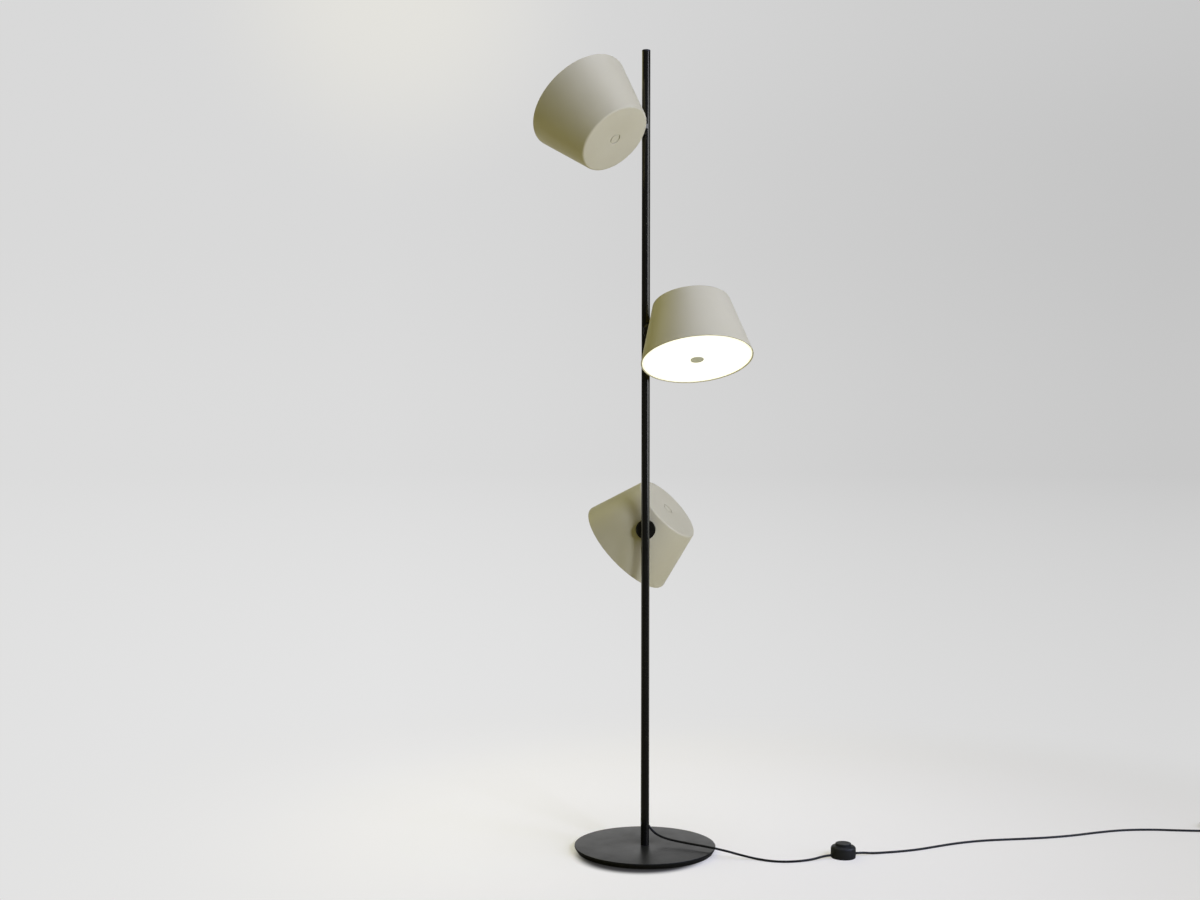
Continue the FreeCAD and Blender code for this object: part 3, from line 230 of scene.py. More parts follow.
def coil_line(turns):
    """Places on the coil after so many turns.

    The angle grows evenly. The radius falls by one step a turn on the lower layer and
    grows by one step a turn on the upper. In the half turn between them the radius dips
    by a parabola and the height rises by a smooth step.
    """
    outer = COIL_MIDDLE_RADIUS + COIL_STEP * LAYER_TURNS / 2
    inner = outer - COIL_STEP * LAYER_TURNS
    share = np.clip((turns - LAYER_TURNS) * 2, 0, 1)
    winding_in = outer - COIL_STEP * np.minimum(turns, LAYER_TURNS)
    winding_out = COIL_STEP * np.maximum(turns - LAYER_TURNS - 0.5, 0)
    radius = winding_in + winding_out - COIL_STEP / 2 * (share - share ** 2)
    height = COIL_STEP * (3 * share ** 2 - 2 * share ** 3)
    angle = 2 * np.pi * turns - np.pi / 2
    spots = np.stack([radius * np.cos(angle), radius * np.sin(angle) + outer, height], axis=1)
    return COIL_START + spots


whole_turns = 2 * LAYER_TURNS + 0.5
coil = coil_line(np.linspace(0, whole_turns, int(whole_turns * POINTS_A_TURN) + 1))
leave = coil[-1]
tail = leave + np.array([
    (6, 0, 0), (12, 0, 0), (20, 0, -0.5), (30, 0, -2.1), (38, 0, 0), (43.4, 0, 0)]) * MM
tail[-2:, 2] = PLUG_HEIGHT
plug_start = tail[-1]
before_coil = np.array([COIL_START - (2 * LEAD_RADIUS, 0, 0)])
second_lead = lead_curve("lead_to_plug", np.vstack([TO_COIL, before_coil, coil, tail]))
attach(second_lead, "stand")
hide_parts("cord_to_coil", "cord_coil")
second_length = spline_length(second_lead)
print("switch to plug: %.3f m, coil of %.1f turns" % (second_length, whole_turns))

# %% [markdown]
# ## Surfaces from grids
#
# Most new pieces here are surfaces of revolution: an outline of radius and height, turned
# about an axis. As numbers, that is a grid of points with one parameter along the outline
# and one round the axis, so a whole piece is worked out as one array. A Screw modifier
# would do the same, but a grid can be laid on a shade's slanted axis at once.

# %% Grid helpers
FINE, COARSE = 192, 64
SHARP_ANGLE = math.radians(35)
TOUCHING = 1e-7


def rounded(corners, steps=7):
    """Closed outline through (radius, height, rounding) corners, in millimetres.

    At each corner the rounding is the arc that touches both sides. Its ends lie back
    along the sides by the rounding over the tangent of half the corner's inner angle.
    """
    corners = np.array(corners, float)
    spots = corners[:, :2]
    back = np.roll(spots, 1, axis=0) - spots
    ahead = np.roll(spots, -1, axis=0) - spots
    back /= np.linalg.norm(back, axis=1, keepdims=True)
    ahead /= np.linalg.norm(ahead, axis=1, keepdims=True)
    half = np.arccos(np.clip((back * ahead).sum(axis=1), -1, 1)) / 2
    reach = corners[:, 2] / np.tan(half)
    middle = back + ahead
    middle /= np.linalg.norm(middle, axis=1, keepdims=True)
    centre = spots + middle * (corners[:, 2] / np.sin(half))[:, None]
    first = spots + back * reach[:, None] - centre
    last = spots + ahead * reach[:, None] - centre
    share = np.linspace(0, 1, steps)[None, :, None]
    sweep = np.pi - 2 * half
    nearly_nought = 1e-9
    weight = np.sin(sweep)[:, None, None] + nearly_nought
    start = np.sin((1 - share) * sweep[:, None, None]) / weight
    end = np.sin(share * sweep[:, None, None]) / weight
    arcs = centre[:, None, :] + start * first[:, None, :] + end * last[:, None, :]
    sharp = corners[:, 2] <= 0
    kept = [spots[i][None] if sharp[i] else arcs[i] for i in range(len(corners))]
    return np.vstack(kept) * MM


def smooth(mesh):
    """Smooth shading, with a crease where two faces meet at a sharp angle."""
    mesh.shade_smooth()
    mesh.set_sharp_from_angle(angle=SHARP_ANGLE)


def grid_mesh(name, points, wrap_along=True):
    """Mesh of quads over points[i, j], closed round j, and along i as well if wrapped.

    Doubles at a pole are merged, and faces are turned outwards.
    """
    count_i, count_j = points.shape[:2]
    index = np.arange(count_i * count_j).reshape(count_i, count_j)
    if wrap_along:
        index = np.vstack([index, index[:1]])
    index = np.hstack([index, index[:, :1]])
    quads = np.stack([index[:-1, :-1], index[1:, :-1], index[1:, 1:], index[:-1, 1:]], axis=-1)
    quads = quads.reshape(-1, 4)
    mesh = bpy.data.meshes.new(name)
    mesh.from_pydata(points.reshape(-1, 3).tolist(), [], quads.tolist())
    shape = bmesh.new()
    shape.from_mesh(mesh)
    bmesh.ops.remove_doubles(shape, verts=shape.verts, dist=TOUCHING)
    bmesh.ops.recalc_face_normals(shape, faces=shape.faces)
    shape.to_mesh(mesh)
    shape.free()
    smooth(mesh)
    return add_object(name, mesh)


def revolved(name, outline, place=None, segments=FINE, **options):
    """Outline turned about Z: (radius cos angle, radius sin angle, height), then placed."""
    angle = np.linspace(0, 2 * np.pi, segments, endpoint=False)
    radius, height = outline[:, :1], outline[:, 1:]
    points = np.stack([radius * np.cos(angle), radius * np.sin(angle),
                       height + 0 * angle], axis=-1)
    if place is not None:
        turn = np.array(place.to_3x3())
        points = points @ turn.T + np.array(place.translation)
    return grid_mesh(name, points, **options)


def dress(piece, body, node):
    """Let a new piece ride on a body and stand in for a node, which is hidden."""
    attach(piece, body)
    if node:
        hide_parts(node)
    print("%s: %d faces" % (piece.name, len(piece.data.polygons)))


# %% [markdown]
# ## Shades
#
# A shade is spun from sheet steel: a disc is pressed over a turning form until it is a
# cone with one closed end. Spinning leaves a small rounding at the closed end, with a
# shallow dimple in its middle for a cap, and the open edge is rolled into a bead, so no
# sharp sheet edge shows. The wall has its real thickness, with the outside and the inside
# as one closed outline. Last, a round hole is cut where the swivel pin passes.

# %% Shade shells
PIN_HOLE = 5.3 * MM
CLOSED_END_ROUND = 5.5
BEAD_WIDE, BEAD_HIGH = 3.2, 2.4
DIMPLE_RADIUS, DIMPLE_DEPTH, ROD_HOLE = 13.5, 2.4, 6.1


def wall(height, inset=0.0):
    """Radius of the shade's cone at a height, less an inset square to the wall, in mm."""
    return (END_RADIUS + math.tan(SLANT) * height * MM) / MM - inset / math.cos(SLANT)


def shade_outline():
    """Outside from the dimple to the rim, the bead, and back along the inside."""
    depth, sheet = SHADE_DEPTH / MM, SHADE_WALL / MM
    lip, dimple_inside = depth - BEAD_HIGH, DIMPLE_DEPTH + sheet
    return rounded([
        (ROD_HOLE, DIMPLE_DEPTH, 0.15), (DIMPLE_RADIUS, DIMPLE_DEPTH, 0.3),
        (DIMPLE_RADIUS, 0, 0.45), (wall(0), 0, CLOSED_END_ROUND),
        (wall(depth), depth, 1.3), (wall(depth) - BEAD_WIDE, depth, 1.1),
        (wall(depth) - BEAD_WIDE, lip, 0.5), (wall(lip, sheet), lip, 0.5),
        (wall(sheet, sheet), sheet, CLOSED_END_ROUND - sheet),
        (DIMPLE_RADIUS + sheet, sheet, 0.3), (DIMPLE_RADIUS + sheet, dimple_inside, 0.3),
        (ROD_HOLE, dimple_inside, 0.15)])


def bore_through(piece, place, radius, reach=4):
    """Cut a round hole through the wall at the pin: a boolean with a cylinder, applied."""
    station = Vector(((END_RADIUS + math.tan(SLANT) * PIN_STATION), 0, PIN_STATION))
    outward = Vector((math.cos(SLANT), 0, -math.sin(SLANT)))
    turn = outward.to_track_quat("Z", "Y").to_matrix().to_4x4()
    outline = np.array([(0, -reach), (radius / MM, -reach), (radius / MM, reach), (0, reach)]) * MM
    cutter = revolved("cutter", outline, place @ Matrix.Translation(station) @ turn, COARSE,
                      wrap_along=False)
    hole = piece.modifiers.new("pin hole", "BOOLEAN")
    hole.operation = "DIFFERENCE"
    hole.solver = "EXACT"
    hole.object = cutter
    solved = bpy.data.meshes.new_from_object(
        piece.evaluated_get(bpy.context.evaluated_depsgraph_get()))
    piece.modifiers.clear()
    piece.data = solved
    bpy.data.objects.remove(cutter)
    smooth(solved)


for level, place in SHADES.items():
    shell = revolved("shell_" + level, shade_outline(), place)
    bore_through(shell, place, PIN_HOLE)
    dress(shell, "shade_" + level, "shade_shell_" + level)

# %% [markdown]
# ## Pole and base
#
# The pole is a plain tube and the base a turned steel disc, so both are turned outlines
# too. What matters is the edges: the disc has a small round on its top edge that catches
# the light, an upright lip, and an undercut side that stays in shadow.

# %% Pole and base plate
POLE_RADIUS, POLE_WALL = 10.0, 1.5
pole_low, pole_high = (corner[2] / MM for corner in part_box("pole"))
pole = revolved("pole_tube", rounded([
    (POLE_RADIUS, pole_low, 0.3), (POLE_RADIUS, pole_high, 0.25),
    (POLE_RADIUS - POLE_WALL, pole_high, 0.1), (POLE_RADIUS - POLE_WALL, pole_low, 0.1)]),
    segments=COARSE)
dress(pole, "stand", "pole")

plate_low, plate_top = (corner[2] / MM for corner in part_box("base_plate"))
PLATE_RADIUS, PLATE_FOOT, PLATE_LIP = 167.0, 161.0, 3.2
BOLT_HOLE, SOCKET_RADIUS, RECESS_RADIUS = 5.1, 10.1, 13
socket_floor, recess_top = plate_top - 1, plate_low + 8
plate = revolved("base_disc", rounded([
    (RECESS_RADIUS, plate_low, 0.3), (PLATE_FOOT, plate_low, 0.6),
    (PLATE_RADIUS, plate_top - PLATE_LIP, 0.5), (PLATE_RADIUS, plate_top, 1.0),
    (SOCKET_RADIUS, plate_top, 0.3), (SOCKET_RADIUS, socket_floor, 0.1),
    (BOLT_HOLE, socket_floor, 0.1), (BOLT_HOLE, recess_top, 0.1),
    (RECESS_RADIUS, recess_top, 0.3)]))
dress(plate, "stand", "base_plate")

# %% [markdown]
# ## Foot switch
#
# The switch is a round moulded case with a soft shoulder, a button in a low collar, and a
# tray that closes it from below. The button's top is slightly dished inside a rounded
# edge, as a foot button is, so that the shoe finds it. Both collars where the lead passes
# are short tapered cones with bending ribs.

# %% Switch case, button and collars
switch_low, switch_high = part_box("switch_button")
SWITCH_CENTRE = ((switch_low + switch_high) / 2).to_2d().to_3d()
SWITCH_YAW = math.radians(17)
SWITCH = Matrix.Translation(SWITCH_CENTRE) @ Matrix.Rotation(SWITCH_YAW, 4, "Z")
INLET_HEIGHT = 7.0
CASE_OUTSIDE, CASE_INSIDE, BUTTON_HOLE = 29, 26.8, 18.6
CASE_LOW, CASE_ROOF = 3.1, 24.3

case = revolved("switch_case", rounded([
    (CASE_INSIDE, CASE_LOW, 0.1), (CASE_OUTSIDE, CASE_LOW, 1.6), (CASE_OUTSIDE, 26.3, 6.5),
    (BUTTON_HOLE, 28.4, 0.5), (BUTTON_HOLE, CASE_ROOF, 0.2), (CASE_INSIDE, CASE_ROOF, 4)]),
    SWITCH, COARSE * 2)
dress(case, "stand", "switch_cover")


def button_outline(roof=33.8, edge=18.2, flange=20.4, inside=16.4):
    """Dished top, rounded edge, straight skirt and the flange under the case."""
    flange_top, flange_low, ceiling = 24, 22, roof - 1.9
    return rounded([
        (0, roof - 0.5, 0), (edge - 5.5, roof - 0.4, 3), (edge - 3, roof, 1.2), (edge, roof, 1.7),
        (edge, flange_top, 0.2), (flange, flange_top, 0.2), (flange, flange_low, 0.2),
        (inside, flange_low, 0.2), (inside, ceiling, 0.5), (0, ceiling, 0)])


button = revolved("switch_foot_button", button_outline(), SWITCH, COARSE * 2, wrap_along=False)
dress(button, "switch_button", "switch_button")


def collar_outline(start=27.5, end=32.5, root=3.8, tip=3.1, bore=2.72):
    """Tapered nose round the lead: a straight taper plus three waves of a cosine as ribs."""
    along = np.linspace(0, 1, 33)
    waves, rib_height = 3, 0.18
    ribs = rib_height * np.cos(along * 2 * np.pi * waves)
    radius = root + (tip - root) * along + ribs
    nose = np.stack([radius, start + (end - start) * along], axis=1)
    return np.vstack([[(bore, start)], nose, [(bore, end)]]) * MM


for name, side in (("in", -1), ("out", 1)):
    turn = Matrix.Rotation(math.radians(90 * side), 4, "Y")
    lift = Matrix.Translation((0, 0, INLET_HEIGHT * MM))
    collar = revolved("switch_collar_" + name, collar_outline(), SWITCH @ lift @ turn, COARSE)
    dress(collar, "stand", None)

# %% [markdown]
# ## Spring
#
# The spring under the button has to shorten with a press, or it would come through the
# button's roof. Here a copy of the imported spring, with a mesh of its own, stands in for it.

# %% Spring under the button
spring = add_object("pressed_spring", frame["nodes"]["switch_spring"].data.copy())
dress(spring, "stand", "switch_spring")
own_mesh(spring)

# %% [markdown]
# ## Plug and tie
#
# The plug is moulded in one with its strain relief. Its cross-section is a rounded
# rectangle whose width and height change along it, which a superellipse gives with one
# formula: cosine and sine, each raised to a power under one, flatten the sides. The tie is
# a strap round the bundle of turns.

# %% Plug body and tie
def plug_surface(start, lengthwise=40, round_steps=64):
    """Superellipse sections along X: half width, half height and squareness by station.

    A section is (cos angle, sin angle), each to the power of its squareness, times half the
    width and height. The strain relief adds a sine wave along X, as ribs.
    """
    stations = np.array([0, 3, 22, 27, 36, 48, 56, 59, 60.0])
    half_wide = np.array([3.3, 3.4, 4.6, 6.6, 12.6, 16.4, 17.6, 17.4, 16.6])
    half_high = np.array([3.3, 3.4, 4.6, 5.6, 6.6, 6.85, 6.85, 6.7, 6.0])
    power = np.array([1, 1, 1, 0.9, 0.62, 0.5, 0.45, 0.45, 0.45])
    rib_height, rib_pitch = 0.35, 3.6
    along = np.unique(np.concatenate([np.linspace(0, stations[-1], lengthwise), stations]))
    wide = np.interp(along, stations, half_wide)[:, None]
    high = np.interp(along, stations, half_high)[:, None]
    square = np.interp(along, stations, power)[:, None]
    ribbed = (along > stations[1]) & (along < stations[2])
    ribs = (rib_height * np.sin(along * 2 * np.pi / rib_pitch) * ribbed)[:, None]
    angle = np.linspace(0, 2 * np.pi, round_steps, endpoint=False)[None, :]
    cosine, sine = np.cos(angle), np.sin(angle)
    y = (wide + ribs) * np.sign(cosine) * np.abs(cosine) ** square
    z = (high + ribs) * np.sign(sine) * np.abs(sine) ** square
    z = np.maximum(z, -PLUG_HEIGHT / MM)
    points = np.stack([along[:, None] + 0 * y, y, z], axis=-1)
    ends = points[[0, -1]].mean(axis=1, keepdims=True) + 0 * points[[0, -1]]
    points = np.concatenate([ends[:1], points, ends[1:]])
    return points * MM + start


plug = grid_mesh("plug_moulding", plug_surface(plug_start), wrap_along=False)
dress(plug, "stand", "plug_body")

tie_low, tie_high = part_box("coil_tie")


def strap_surface(low, high, thickness=0.75 * MM, rounding=2.0):
    """Rounded rectangle in Y and Z, offset inwards by the thickness, carried along X."""
    half = (high - low) / 2
    middle = (high + low) / 2
    y, z = half.y / MM, half.z / MM
    corners = np.array([(-y, -z), (y, -z), (y, z), (-y, z)])
    outer = rounded([(*c, rounding) for c in corners])
    inner = rounded([(*(c - np.sign(c) * thickness / MM), rounding - 0.7) for c in corners])
    x = np.array([-half.x, half.x])
    ring = np.stack([np.stack([x[i] + 0 * line[:, 0], line[:, 0], line[:, 1]], axis=-1)
                     for i, line in ((0, outer), (1, outer), (1, inner), (0, inner))])
    return ring + np.array(middle)


strap = grid_mesh("coil_strap", strap_surface(tie_low, tie_high))
dress(strap, "stand", "coil_tie")

# %% Length of the whole lead
print("lead: %.3f m from the pole to the plug" % (first_length + second_length))

# %% [markdown]
# ## Materials
#
# Every finish is a small graph of nodes. Three things make a plain colour into a
# surface: a slow change of colour across the piece, a roughness that isn't quite even, and
# a fine bump. They come from noise on Object coordinates, which are metres here, so a
# noise scale of 1000 is a grain of one millimetre.

# %% Node helpers
def feed(tree, socket, value):
    """Link an input to another node's socket, or set it to a number."""
    if isinstance(value, bpy.types.NodeSocket):
        tree.links.new(value, socket)
    else:
        socket.default_value = value


def add(tree, kind, values=None, **settings):
    """Add a shader node, with settings, and with values for its inputs."""
    made = tree.nodes.new(kind)
    for key, value in settings.items():
        setattr(made, key, value)
    for key, value in (values or {}).items():
        feed(tree, made.inputs[key], value)
    return made


def new_material(name, matrix=None):
    """Material, its nodes and the place in it, in a piece's own frame if one is given."""
    material = bpy.data.materials.new(name)
    material.use_nodes = True
    tree = material.node_tree
    tree.nodes.clear()
    where = add(tree, "ShaderNodeTexCoord").outputs["Object"]
    if matrix is not None:
        inverse = matrix.inverted()
        where = add(tree, "ShaderNodeMapping", {
            "Vector": where, "Location": inverse.to_translation(),
            "Rotation": inverse.to_euler()}).outputs["Vector"]
    return material, tree, where


def show(tree, shader, kind="Material"):
    """Link a shader to the output."""
    output = add(tree, "ShaderNodeOutput" + kind)
    tree.links.new(shader.outputs[0], output.inputs["Surface"])


def height_of(tree, vector):
    """Z of a place or a direction."""
    return add(tree, "ShaderNodeSeparateXYZ", {0: vector}).outputs["Z"]


def noise(tree, where, scale, detail=2.0, roughness=0.5, distortion=0.0):
    """Smooth random value, with so many waves to the metre."""
    made = add(tree, "ShaderNodeTexNoise", {
        "Vector": where, "Scale": scale, "Detail": detail, "Roughness": roughness,
        "Distortion": distortion})
    return made.outputs["Fac"]


def spread(tree, value, low, high, span=(0.3, 0.7), how="LINEAR"):
    """Map a span, a noise's usual one unless another is given, to a low and a high value."""
    made = add(tree, "ShaderNodeMapRange", {
        "Value": value, "From Min": span[0], "From Max": span[1], "To Min": low, "To Max": high},
        interpolation_type=how)
    return made.outputs["Result"]


def mixed(tree, factor, first, second, how="MIX"):
    """Mix two colours by a factor."""
    made = add(tree, "ShaderNodeMix", data_type="RGBA", blend_type=how)
    for number, value in ((0, factor), (6, first), (7, second)):
        feed(tree, made.inputs[number], value)
    return made.outputs[2]


def maths(tree, how, first, second=0.0):
    """One arithmetic node on two values."""
    made = add(tree, "ShaderNodeMath", operation=how)
    for number, value in enumerate((first, second)):
        feed(tree, made.inputs[number], value)
    return made.outputs[0]


def vectors(tree, how, *values):
    """One arithmetic node on vectors."""
    return add(tree, "ShaderNodeVectorMath", dict(enumerate(values)), operation=how)


def length_of(tree, vector):
    """Length of a vector."""
    return vectors(tree, "LENGTH", vector).outputs["Value"]


def drifting(tree, where, scale, base, change):
    """Colour that drifts slowly between the base and the base times the change."""
    drift = spread(tree, noise(tree, where, scale, 3.0), 0, 1)
    return mixed(tree, drift, base, tone(*(change * c for c in base[:3])))


def bumped(tree, height, distance, strength=1.0, under=None):
    """Bump of a height map, distance being its depth in metres, on top of another bump."""
    values = {"Height": height, "Distance": distance, "Strength": strength}
    if under is not None:
        values["Normal"] = under
    return add(tree, "ShaderNodeBump", values).outputs["Normal"]


def principled(tree, **values):
    """Principled shader, linked to the output. Names use underscores for spaces."""
    named = {key.replace("_", " "): value for key, value in values.items()}
    show(tree, add(tree, "ShaderNodeBsdfPrincipled", named))


def paint(nodes, material):
    """Give a material to CAD nodes and new pieces by name."""
    for name in nodes:
        thing = frame["nodes"].get(name) or bpy.data.objects[name]
        thing.data.materials.clear()
        thing.data.materials.append(material)
    print("%s: %s" % (material.name, ", ".join(nodes)))


def tone(red, green, blue):
    """Colour with full alpha."""
    return (red, green, blue, 1.0)


# %% [markdown]
# ## Greige paint
#
# The shades are wet-painted steel: a warm grey that leans to olive, with a satin sheen.
# The sheen is a rough, weak reflection. A very fine orange-peel bump breaks it, and the
# colour drifts by a few percent. Near the rim, where hands turn the shade, the paint is
# rubbed a little smoother.

# %% Shade paint
GREIGE = tone(0.532, 0.486, 0.357)
GREIGE_DEEP = tone(0.502, 0.457, 0.326)
PALE_SPECK = tone(0.62, 0.60, 0.50)
HANDLED_BAND, RUBBED = 0.03, 0.06


def shade_paint(name, matrix):
    """Roughness is even, less a smudge in the band at the rim that hands touch."""
    material, tree, where = new_material(name, matrix)
    drift = spread(tree, noise(tree, where, 7.0, 3.0), 0, 1)
    colour = mixed(tree, drift, GREIGE, GREIGE_DEEP)
    speck = spread(tree, noise(tree, where, 1400.0, 1.0), 0, 0.05, (0.62, 0.8))
    colour = mixed(tree, speck, colour, PALE_SPECK)
    handled = spread(tree, height_of(tree, where), 0, 1, (SHADE_DEPTH - HANDLED_BAND, SHADE_DEPTH))
    smudge = spread(tree, noise(tree, where, 24.0, 3.0, 0.6), 0, 1)
    rough = spread(tree, noise(tree, where, 60.0, 2.0), 0.47, 0.53)
    rough = maths(tree, "SUBTRACT", rough, maths(tree, "MULTIPLY", maths(
        tree, "MULTIPLY", handled, smudge), RUBBED))
    peel = bumped(tree, noise(tree, where, 420.0, 2.0), 0.00012, 0.35)
    grain = bumped(tree, noise(tree, where, 2400.0, 1.0), 0.00004, 0.3, peel)
    principled(tree, Base_Color=colour, Roughness=rough, Normal=grain,
               Specular_IOR_Level=0.42)
    return material


for level, place in SHADES.items():
    coat = shade_paint("greige_" + level, place)
    paint(["shell_" + level, "rear_cap_" + level], coat)

# %% [markdown]
# ## Black powder coat
#
# Pole, base and hubs have a satin black powder coat. Powder melts into a skin with a fine
# even texture, so its highlight is a soft stripe, not a mirror line. On the flat base the
# low angle makes the skin reflect the pale room, and it looks mid grey in the picture:
# that comes from the shader's own Fresnel and needs no lighter colour.

# %% Powder coat
def powder_coat(name, base, roughness, shine, texture, dusty=0.0, tint=(1, 1, 1)):
    """Shine is the mirror level of upright and of level faces, texture the skin's depth."""
    material, tree, where = new_material(name)
    facing = add(tree, "ShaderNodeNewGeometry").outputs["Normal"]
    upward = height_of(tree, facing)
    colour = drifting(tree, where, 9.0, base, 1.25)
    grains = noise(tree, where, 2200.0, 1.0)
    colour = mixed(tree, spread(tree, grains, 0, 0.10, (0.6, 0.8)), colour, tone(0.08, 0.08, 0.08))
    if dusty:
        dust = maths(tree, "MULTIPLY", spread(tree, noise(tree, where, 45.0, 5.0, 0.7), 0, dusty),
                     maths(tree, "MAXIMUM", upward, 0.0))
        colour = mixed(tree, dust, colour, tone(0.35, 0.34, 0.32))
    rough = spread(tree, noise(tree, where, 30.0, 3.0), roughness - 0.03, roughness + 0.03)
    skin = bumped(tree, noise(tree, where, 900.0, 2.0), texture, 0.30)
    grain = bumped(tree, grains, texture * 0.4, 0.4, skin)
    level = spread(tree, upward, *shine, (0.2, 0.9))
    principled(tree, Base_Color=colour, Roughness=rough, Normal=grain,
               Specular_IOR_Level=level, Specular_Tint=tone(*tint))
    return material


POLE_BLACK = tone(0.005, 0.005, 0.005)
BASE_BLACK = tone(0.010, 0.010, 0.010)
pole_coat = powder_coat("black_coat_pole", POLE_BLACK, 0.16, (0.60, 0.4), 0.000012,
                        tint=(1.0, 0.92, 0.58))
base_coat = powder_coat("black_coat_base", BASE_BLACK, 0.34, (0.12, 0.48), 0.00010, dusty=0.02)
paint(["pole_tube", "hub_upper", "hub_middle", "hub_lower", "swivel_disc_upper",
       "swivel_disc_middle", "swivel_disc_lower"], pole_coat)
paint(["base_disc"], base_coat)

# %% [markdown]
# ## Lit diffuser
#
# Each open end is closed by an opal acrylic disc with a ring of light chips behind it. The
# whole disc glows evenly, and only a touch less at its edge. An emission on the acrylic
# itself gives that. It needs the distance from the shade's axis, which the shade's own
# frame gives.

# %% Diffuser
GLOW = tone(1.0, 0.985, 0.90)
GLOW_EDGE = tone(0.80, 0.80, 0.60)
GLOW_STRENGTH = 0.90
GLOW_EDGE_SPAN = (0.119, 0.1285)
ACRYLIC = tone(0.86, 0.85, 0.82)


def opal(name, matrix):
    """Glow by the distance from the shade's axis: the length of the place without its Z."""
    material, tree, where = new_material(name, matrix)
    radius = length_of(tree, vectors(tree, "MULTIPLY", where, (1, 1, 0)).outputs[0])
    edge = spread(tree, radius, 0, 1, GLOW_EDGE_SPAN)
    mottle = spread(tree, noise(tree, where, 30.0, 2.0), 0, 0.06)
    glow = mixed(tree, maths(tree, "MAXIMUM", edge, mottle), GLOW, GLOW_EDGE)
    satin = bumped(tree, noise(tree, where, 1800.0, 1.0), 0.00003, 0.3)
    rough = spread(tree, noise(tree, where, 40.0, 2.0), 0.34, 0.42)
    principled(tree, Base_Color=ACRYLIC, Roughness=rough, Normal=satin,
               Emission_Color=glow, Emission_Strength=GLOW_STRENGTH)
    return material


for level, place in SHADES.items():
    paint(["diffuser_" + level], opal("opal_" + level, place))

# %% [markdown]
# ## Turned knob
#
# The small disc in the middle of each diffuser is a turned knob. Its paint is a pale grey,
# but against the lit disc it looks dark. Turning leaves fine rings round its axis: a wave
# of the distance from the axis, as a bump of a few microns.

# %% Knob
KNOB_GREY = tone(0.68, 0.675, 0.61)


def turned_paint(name, matrix, base, roughness):
    """Paint with the rings of the turning tool round the shade's axis."""
    material, tree, where = new_material(name, matrix)
    rings = add(tree, "ShaderNodeTexWave", {
        "Vector": where, "Scale": 320.0, "Distortion": 0.4, "Detail": 1.0},
        wave_type="RINGS", rings_direction="Z")
    colour = drifting(tree, where, 90.0, base, 0.9)
    skin = bumped(tree, rings.outputs["Fac"], 0.00002, 0.5)
    rough = spread(tree, noise(tree, where, 200.0, 2.0), roughness - 0.04, roughness + 0.04)
    principled(tree, Base_Color=colour, Roughness=rough, Normal=skin)
    return material


for level, place in SHADES.items():
    paint(["diffuser_knob_" + level], turned_paint("knob_" + level, place, KNOB_GREY, 0.42))

# %% [markdown]
# ## Plastics, rubber and the lead's sheath
#
# Moulded black plastic has a spark-eroded grain, rubber is duller and softer, and the
# lead's sheath is smooth with a faint sheen. They share one recipe with other numbers.

# %% Moulded finishes
def moulded(name, base, roughness, grain_scale, grain_depth, specular=0.5):
    """Grain is the distance to the nearest of many scattered points, as a bump."""
    material, tree, where = new_material(name)
    colour = drifting(tree, where, 40.0, base, 1.3)
    rough = spread(tree, noise(tree, where, 120.0, 3.0), roughness - 0.05, roughness + 0.05)
    cells = add(tree, "ShaderNodeTexVoronoi", {"Vector": where, "Scale": grain_scale})
    skin = bumped(tree, cells.outputs["Distance"], grain_depth, 0.35)
    principled(tree, Base_Color=colour, Roughness=rough, Normal=skin,
               Specular_IOR_Level=specular)
    return material


case_plastic = moulded("grained_plastic", tone(0.014, 0.014, 0.014), 0.46, 1500.0, 0.00008, 0.4)
rubber = moulded("rubber", tone(0.014, 0.014, 0.014), 0.62, 2500.0, 0.00004, 0.4)
sheath = moulded("lead_sheath", tone(0.008, 0.008, 0.008), 0.42, 3000.0, 0.00002, 0.35)
light_plastic = moulded("light_plastic", tone(0.60, 0.60, 0.58), 0.45, 1200.0, 0.00006)
strap_plastic = moulded("strap_plastic", tone(0.02, 0.02, 0.02), 0.55, 1800.0, 0.00006)
nylon = moulded("nylon", tone(0.70, 0.68, 0.60), 0.40, 900.0, 0.00004)
paint(["switch_case", "switch_foot_button", "switch_base", "plug_moulding", "pole_cap"],
      case_plastic)
paint(["switch_collar_in", "switch_collar_out", "cord_gland"], rubber)
paint(["lead_to_switch", "lead_to_plug", "pole_wiring"], sheath)
paint(["switch_core", "driver_upper", "driver_middle", "driver_lower"], light_plastic)
paint(["coil_strap"], strap_plastic)
paint(["friction_washers"], nylon)

# %% [markdown]
# ## Bare metal, boards and felt
#
# The hidden hardware is zinc-plated steel, with a brushed streak and a cloudy plating. The
# plug's pins are nickel over brass. The light boards have a white mask, and the pad under
# the base is pressed felt, whose fibres show as a soft, stretched noise.

# %% Hardware finishes
def plated(name, base, roughness, streak=(40.0, 40.0, 1200.0)):
    """Streaks are a noise stretched by so many waves to the metre along each axis."""
    material, tree, where = new_material(name)
    stretched = add(tree, "ShaderNodeMapping", {"Vector": where, "Scale": streak})
    brush = noise(tree, stretched.outputs["Vector"], 1.0, 4.0, 0.6)
    colour = drifting(tree, where, 120.0, base, 0.82)
    rough = spread(tree, brush, roughness - 0.08, roughness + 0.08)
    skin = bumped(tree, brush, 0.00003, 0.4)
    principled(tree, Base_Color=colour, Metallic=1.0, Roughness=rough, Normal=skin)
    return material


BOARD_FROM_RIM = 0.0424
BOARD_WHITE, TRACK, CHIP = tone(0.80, 0.82, 0.80), tone(0.50, 0.42, 0.25), tone(0.85, 0.62, 0.12)


